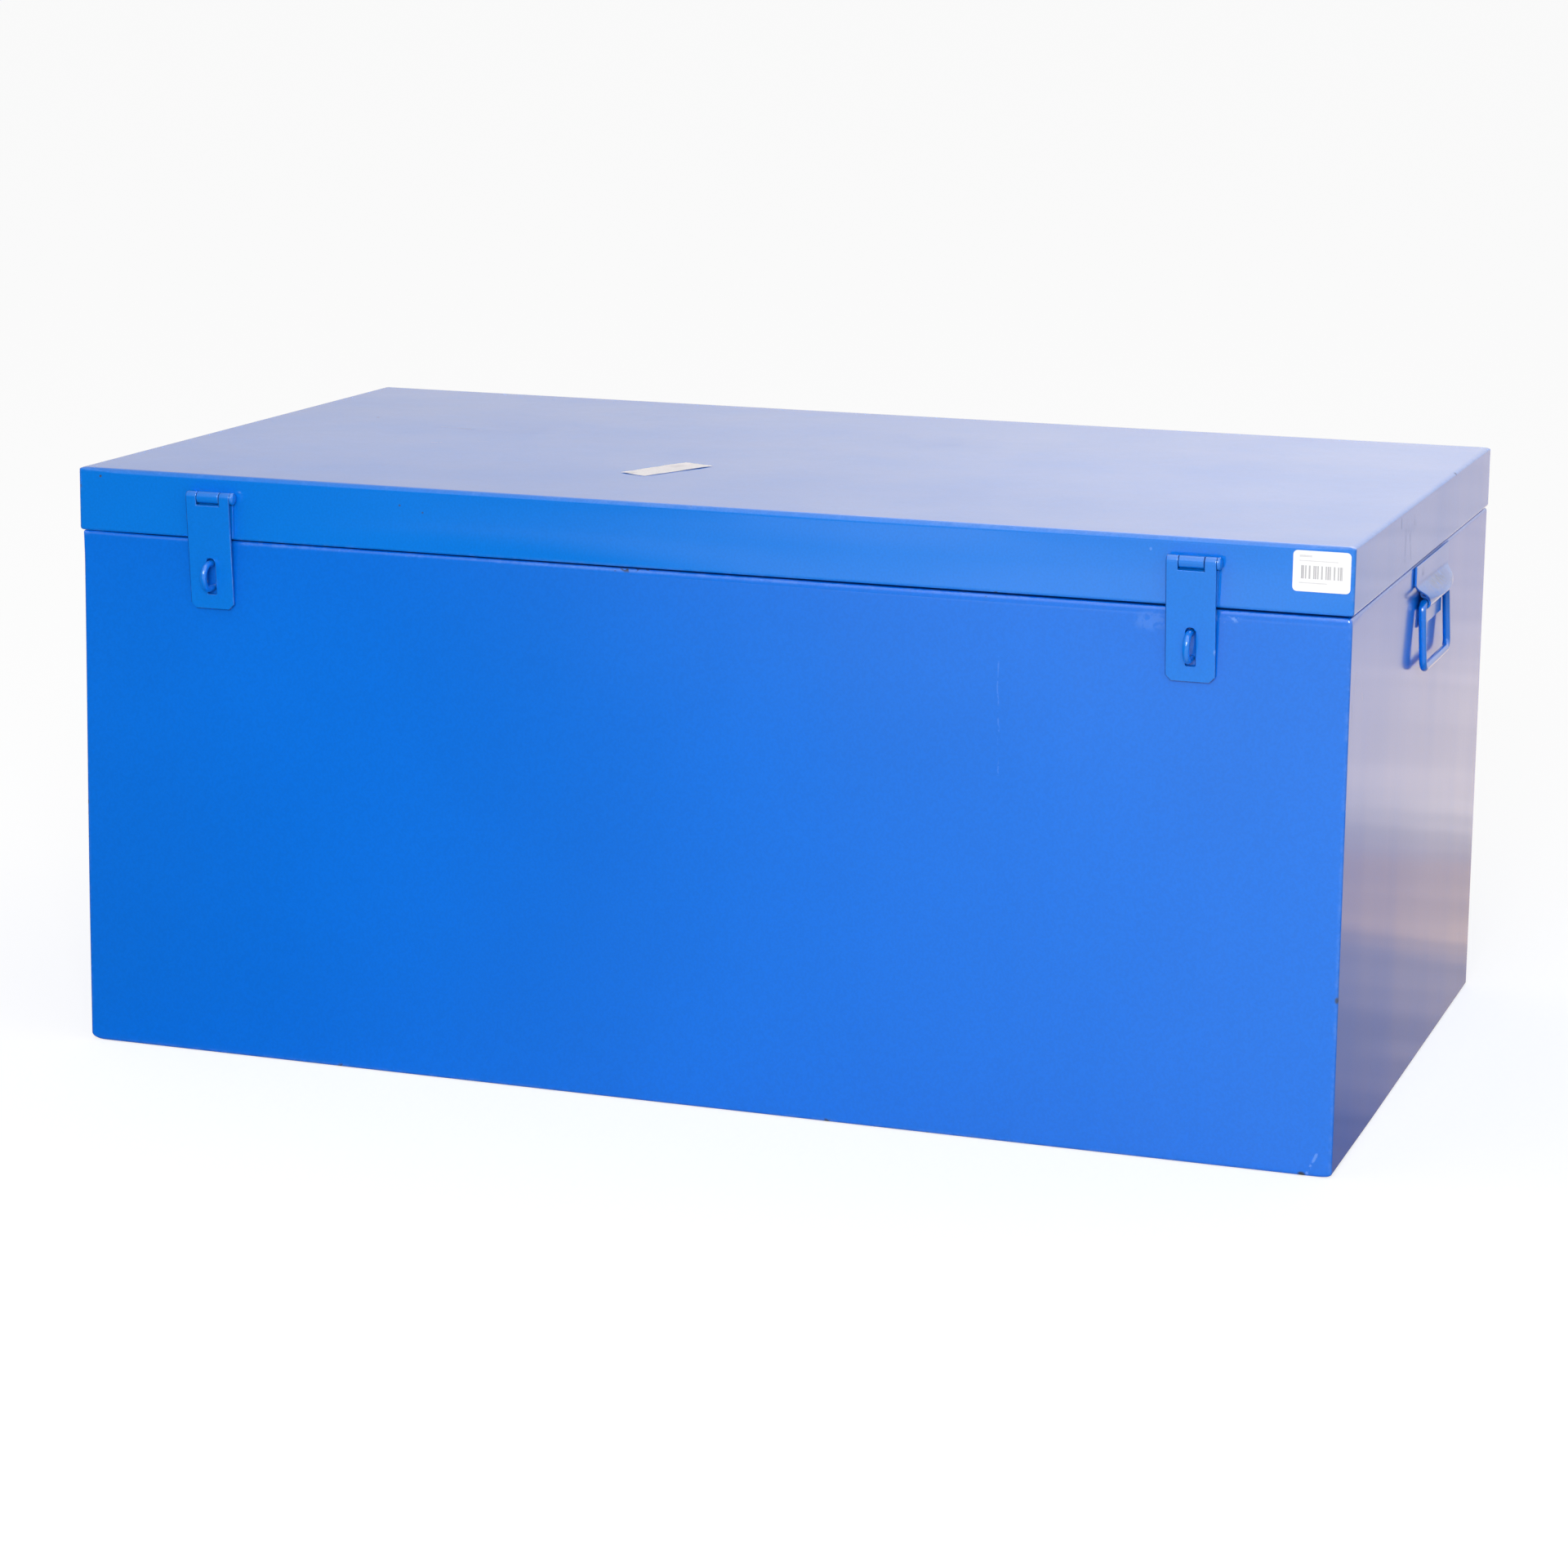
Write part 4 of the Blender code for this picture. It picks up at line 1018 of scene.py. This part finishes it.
def makeFloor():
    shape = bmesh.new()
    bmesh.ops.create_grid(shape, x_segments=2, y_segments=2, size=studio["size"])
    bmesh.ops.translate(shape, vec=(0, 0, -studio["below"]), verts=shape.verts)
    material, tree, place = newMaterial("studioFloor")
    path = put(tree, "ShaderNodeLightPath").outputs
    lit = put(tree, "ShaderNodeBsdfDiffuse", {"Color": studio["floorTone"]})
    seen = put(tree, "ShaderNodeAddShader", {
        0: put(tree, "ShaderNodeEmission", {"Color": studio["seenGlow"]}).outputs[0],
        1: put(tree, "ShaderNodeBsdfDiffuse", {"Color": studio["seenTone"]}).outputs[0]})
    # What the enamel mirrors, a glow that only glossy rays see on the floor: a slanting fade before the
    # chest, bands of tone behind it, the first of them dark as a painted shadow of the chest
    spot = parts(tree, place)
    near = calc(tree, "MAXIMUM", spot[1], -3.1)
    slant = calc(tree, "MULTIPLY", near, calc(tree, "MULTIPLY_ADD", near, 0.085, -0.17))
    slant = calc(tree, "MULTIPLY_ADD", calc(tree, "SUBTRACT", near, spot[1]), 0.22, slant)
    front = fade(tree, calc(tree, "ADD", spot[0], slant), -0.45, 0.92, 0.0, 1.1)
    front = calc(tree, "MULTIPLY", front, fade(tree, spot[1], -2.93, -3.08, 1.0, 1.4))
    front = scaled(tree, (1.0, 1.0, 1.0), front)
    far = calc(tree, "MINIMUM", spot[1], 1.75)
    aside = fade(tree, calc(tree, "MULTIPLY_ADD", far, -0.175, spot[0]), 0.48, 0.60)
    streaks = cloud(tree, stretched(tree, place, (2.2, 11.0, 1.0)), 1.0, 3.0)
    tilt = fade(tree, spot[1], 0.55, 0.75, 0.03, 0.0)
    tilt = calc(tree, "MULTIPLY", calc(tree, "SUBTRACT", 0.5, aside), tilt)
    wave = calc(tree, "MULTIPLY", calc(tree, "SUBTRACT", streaks, 0.5), 0.10)
    depth = calc(tree, "ADD", calc(tree, "ADD", spot[1], tilt), wave)
    behind = put(tree, "ShaderNodeValToRGB", {0: fadeLinear(tree, depth, -0.4, 2.4)})
    rampStops(behind.color_ramp, studio["floorGlow"])
    level = calc(tree, "MULTIPLY", studio["glowScale"], fade(tree, streaks, 0.3, 0.7, 0.88, 1.12))
    extra = scaled(tree, studio["glowFar"], calc(tree, "SUBTRACT", 1.0, aside))
    behind = vectorCalc(tree, "ADD", scaled(tree, behind.outputs[0], level), extra)[0]
    glow = mixed(tree, fade(tree, spot[1], -0.33, -0.28), front, behind)
    mirrored = put(tree, "ShaderNodeEmission", {"Color": glow})
    bounce = chosen(tree, path["Is Glossy Ray"], lit, mirrored)
    whole = chosen(tree, path["Is Camera Ray"], bounce, seen)
    closeMaterial(tree, whole.outputs[0])
    mesh = bpy.data.meshes.new("studioFloor")
    shape.to_mesh(mesh)
    shape.free()
    mesh.materials.append(material)
    floor = bpy.data.objects.new("studioFloor", mesh)
    scene.collection.objects.link(floor)


def makeWorld():
    world = bpy.data.worlds.new("studioWorld")
    scene.world = world
    world.use_nodes = True
    tree = world.node_tree
    tree.nodes.clear()
    path = put(tree, "ShaderNodeLightPath").outputs
    sky = put(tree, "ShaderNodeTexCoord").outputs["Generated"]
    aim = parts(tree, sky)
    behind = fade(tree, aim[0], -0.45, -0.10, 0.75, 1.12)
    before = fade(tree, aim[0], -0.47, -0.12, 0.0, 1.2)
    sockets = {0: fade(tree, aim[1], -0.5, 0.4), 2: before, 3: behind}
    level = put(tree, "ShaderNodeMix", sockets, data_type="FLOAT")
    overhead = fade(tree, aim[0], -0.55, -0.12, 0.6, 3.2)
    overhead = calc(tree, "MULTIPLY", fade(tree, aim[2], 0.08, 0.55), overhead)
    # A small bright patch of sky stands for the lamp, which isn't mirrored
    toSpot = vectorCalc(tree, "DOT_PRODUCT", sky, Vector(studio["sparkAim"]).normalized())[1]
    spark = fade(tree, toSpot, 0.978, 0.990, 0.0, studio["sparkLevel"])
    above = calc(tree, "MAXIMUM", calc(tree, "MAXIMUM", level.outputs[0], overhead), spark)
    soft = put(tree, "ShaderNodeBackground", {"Color": studio["white"], "Strength": studio["ambient"]})
    mirrored = put(tree, "ShaderNodeBackground", {"Color": scaled(tree, studio["skyTint"], above)})
    white = put(tree, "ShaderNodeBackground", {"Color": studio["white"], "Strength": 1.0})
    bounce = chosen(tree, path["Is Glossy Ray"], soft, mirrored)
    whole = chosen(tree, path["Is Camera Ray"], bounce, white)
    put(tree, "ShaderNodeOutputWorld", {"Surface": whole.outputs[0]})


def makeKey():
    aim = Vector(studio["keyAim"]).normalized()
    data = bpy.data.lights.new("keyLamp", "AREA")
    data.shape = "RECTANGLE"
    data.size, data.size_y = studio["keySize"]
    data.energy = studio["keyPower"]
    lamp = bpy.data.objects.new("keyLamp", data)
    lamp.location = Vector(studio["keyTarget"]) + aim * studio["keyDistance"]
    lamp.rotation_euler = aim.to_track_quat("Z", "Y").to_euler()
    lamp.visible_glossy = False
    scene.collection.objects.link(lamp)


makeFloor()
makeWorld()
makeKey()
print("studio lit")
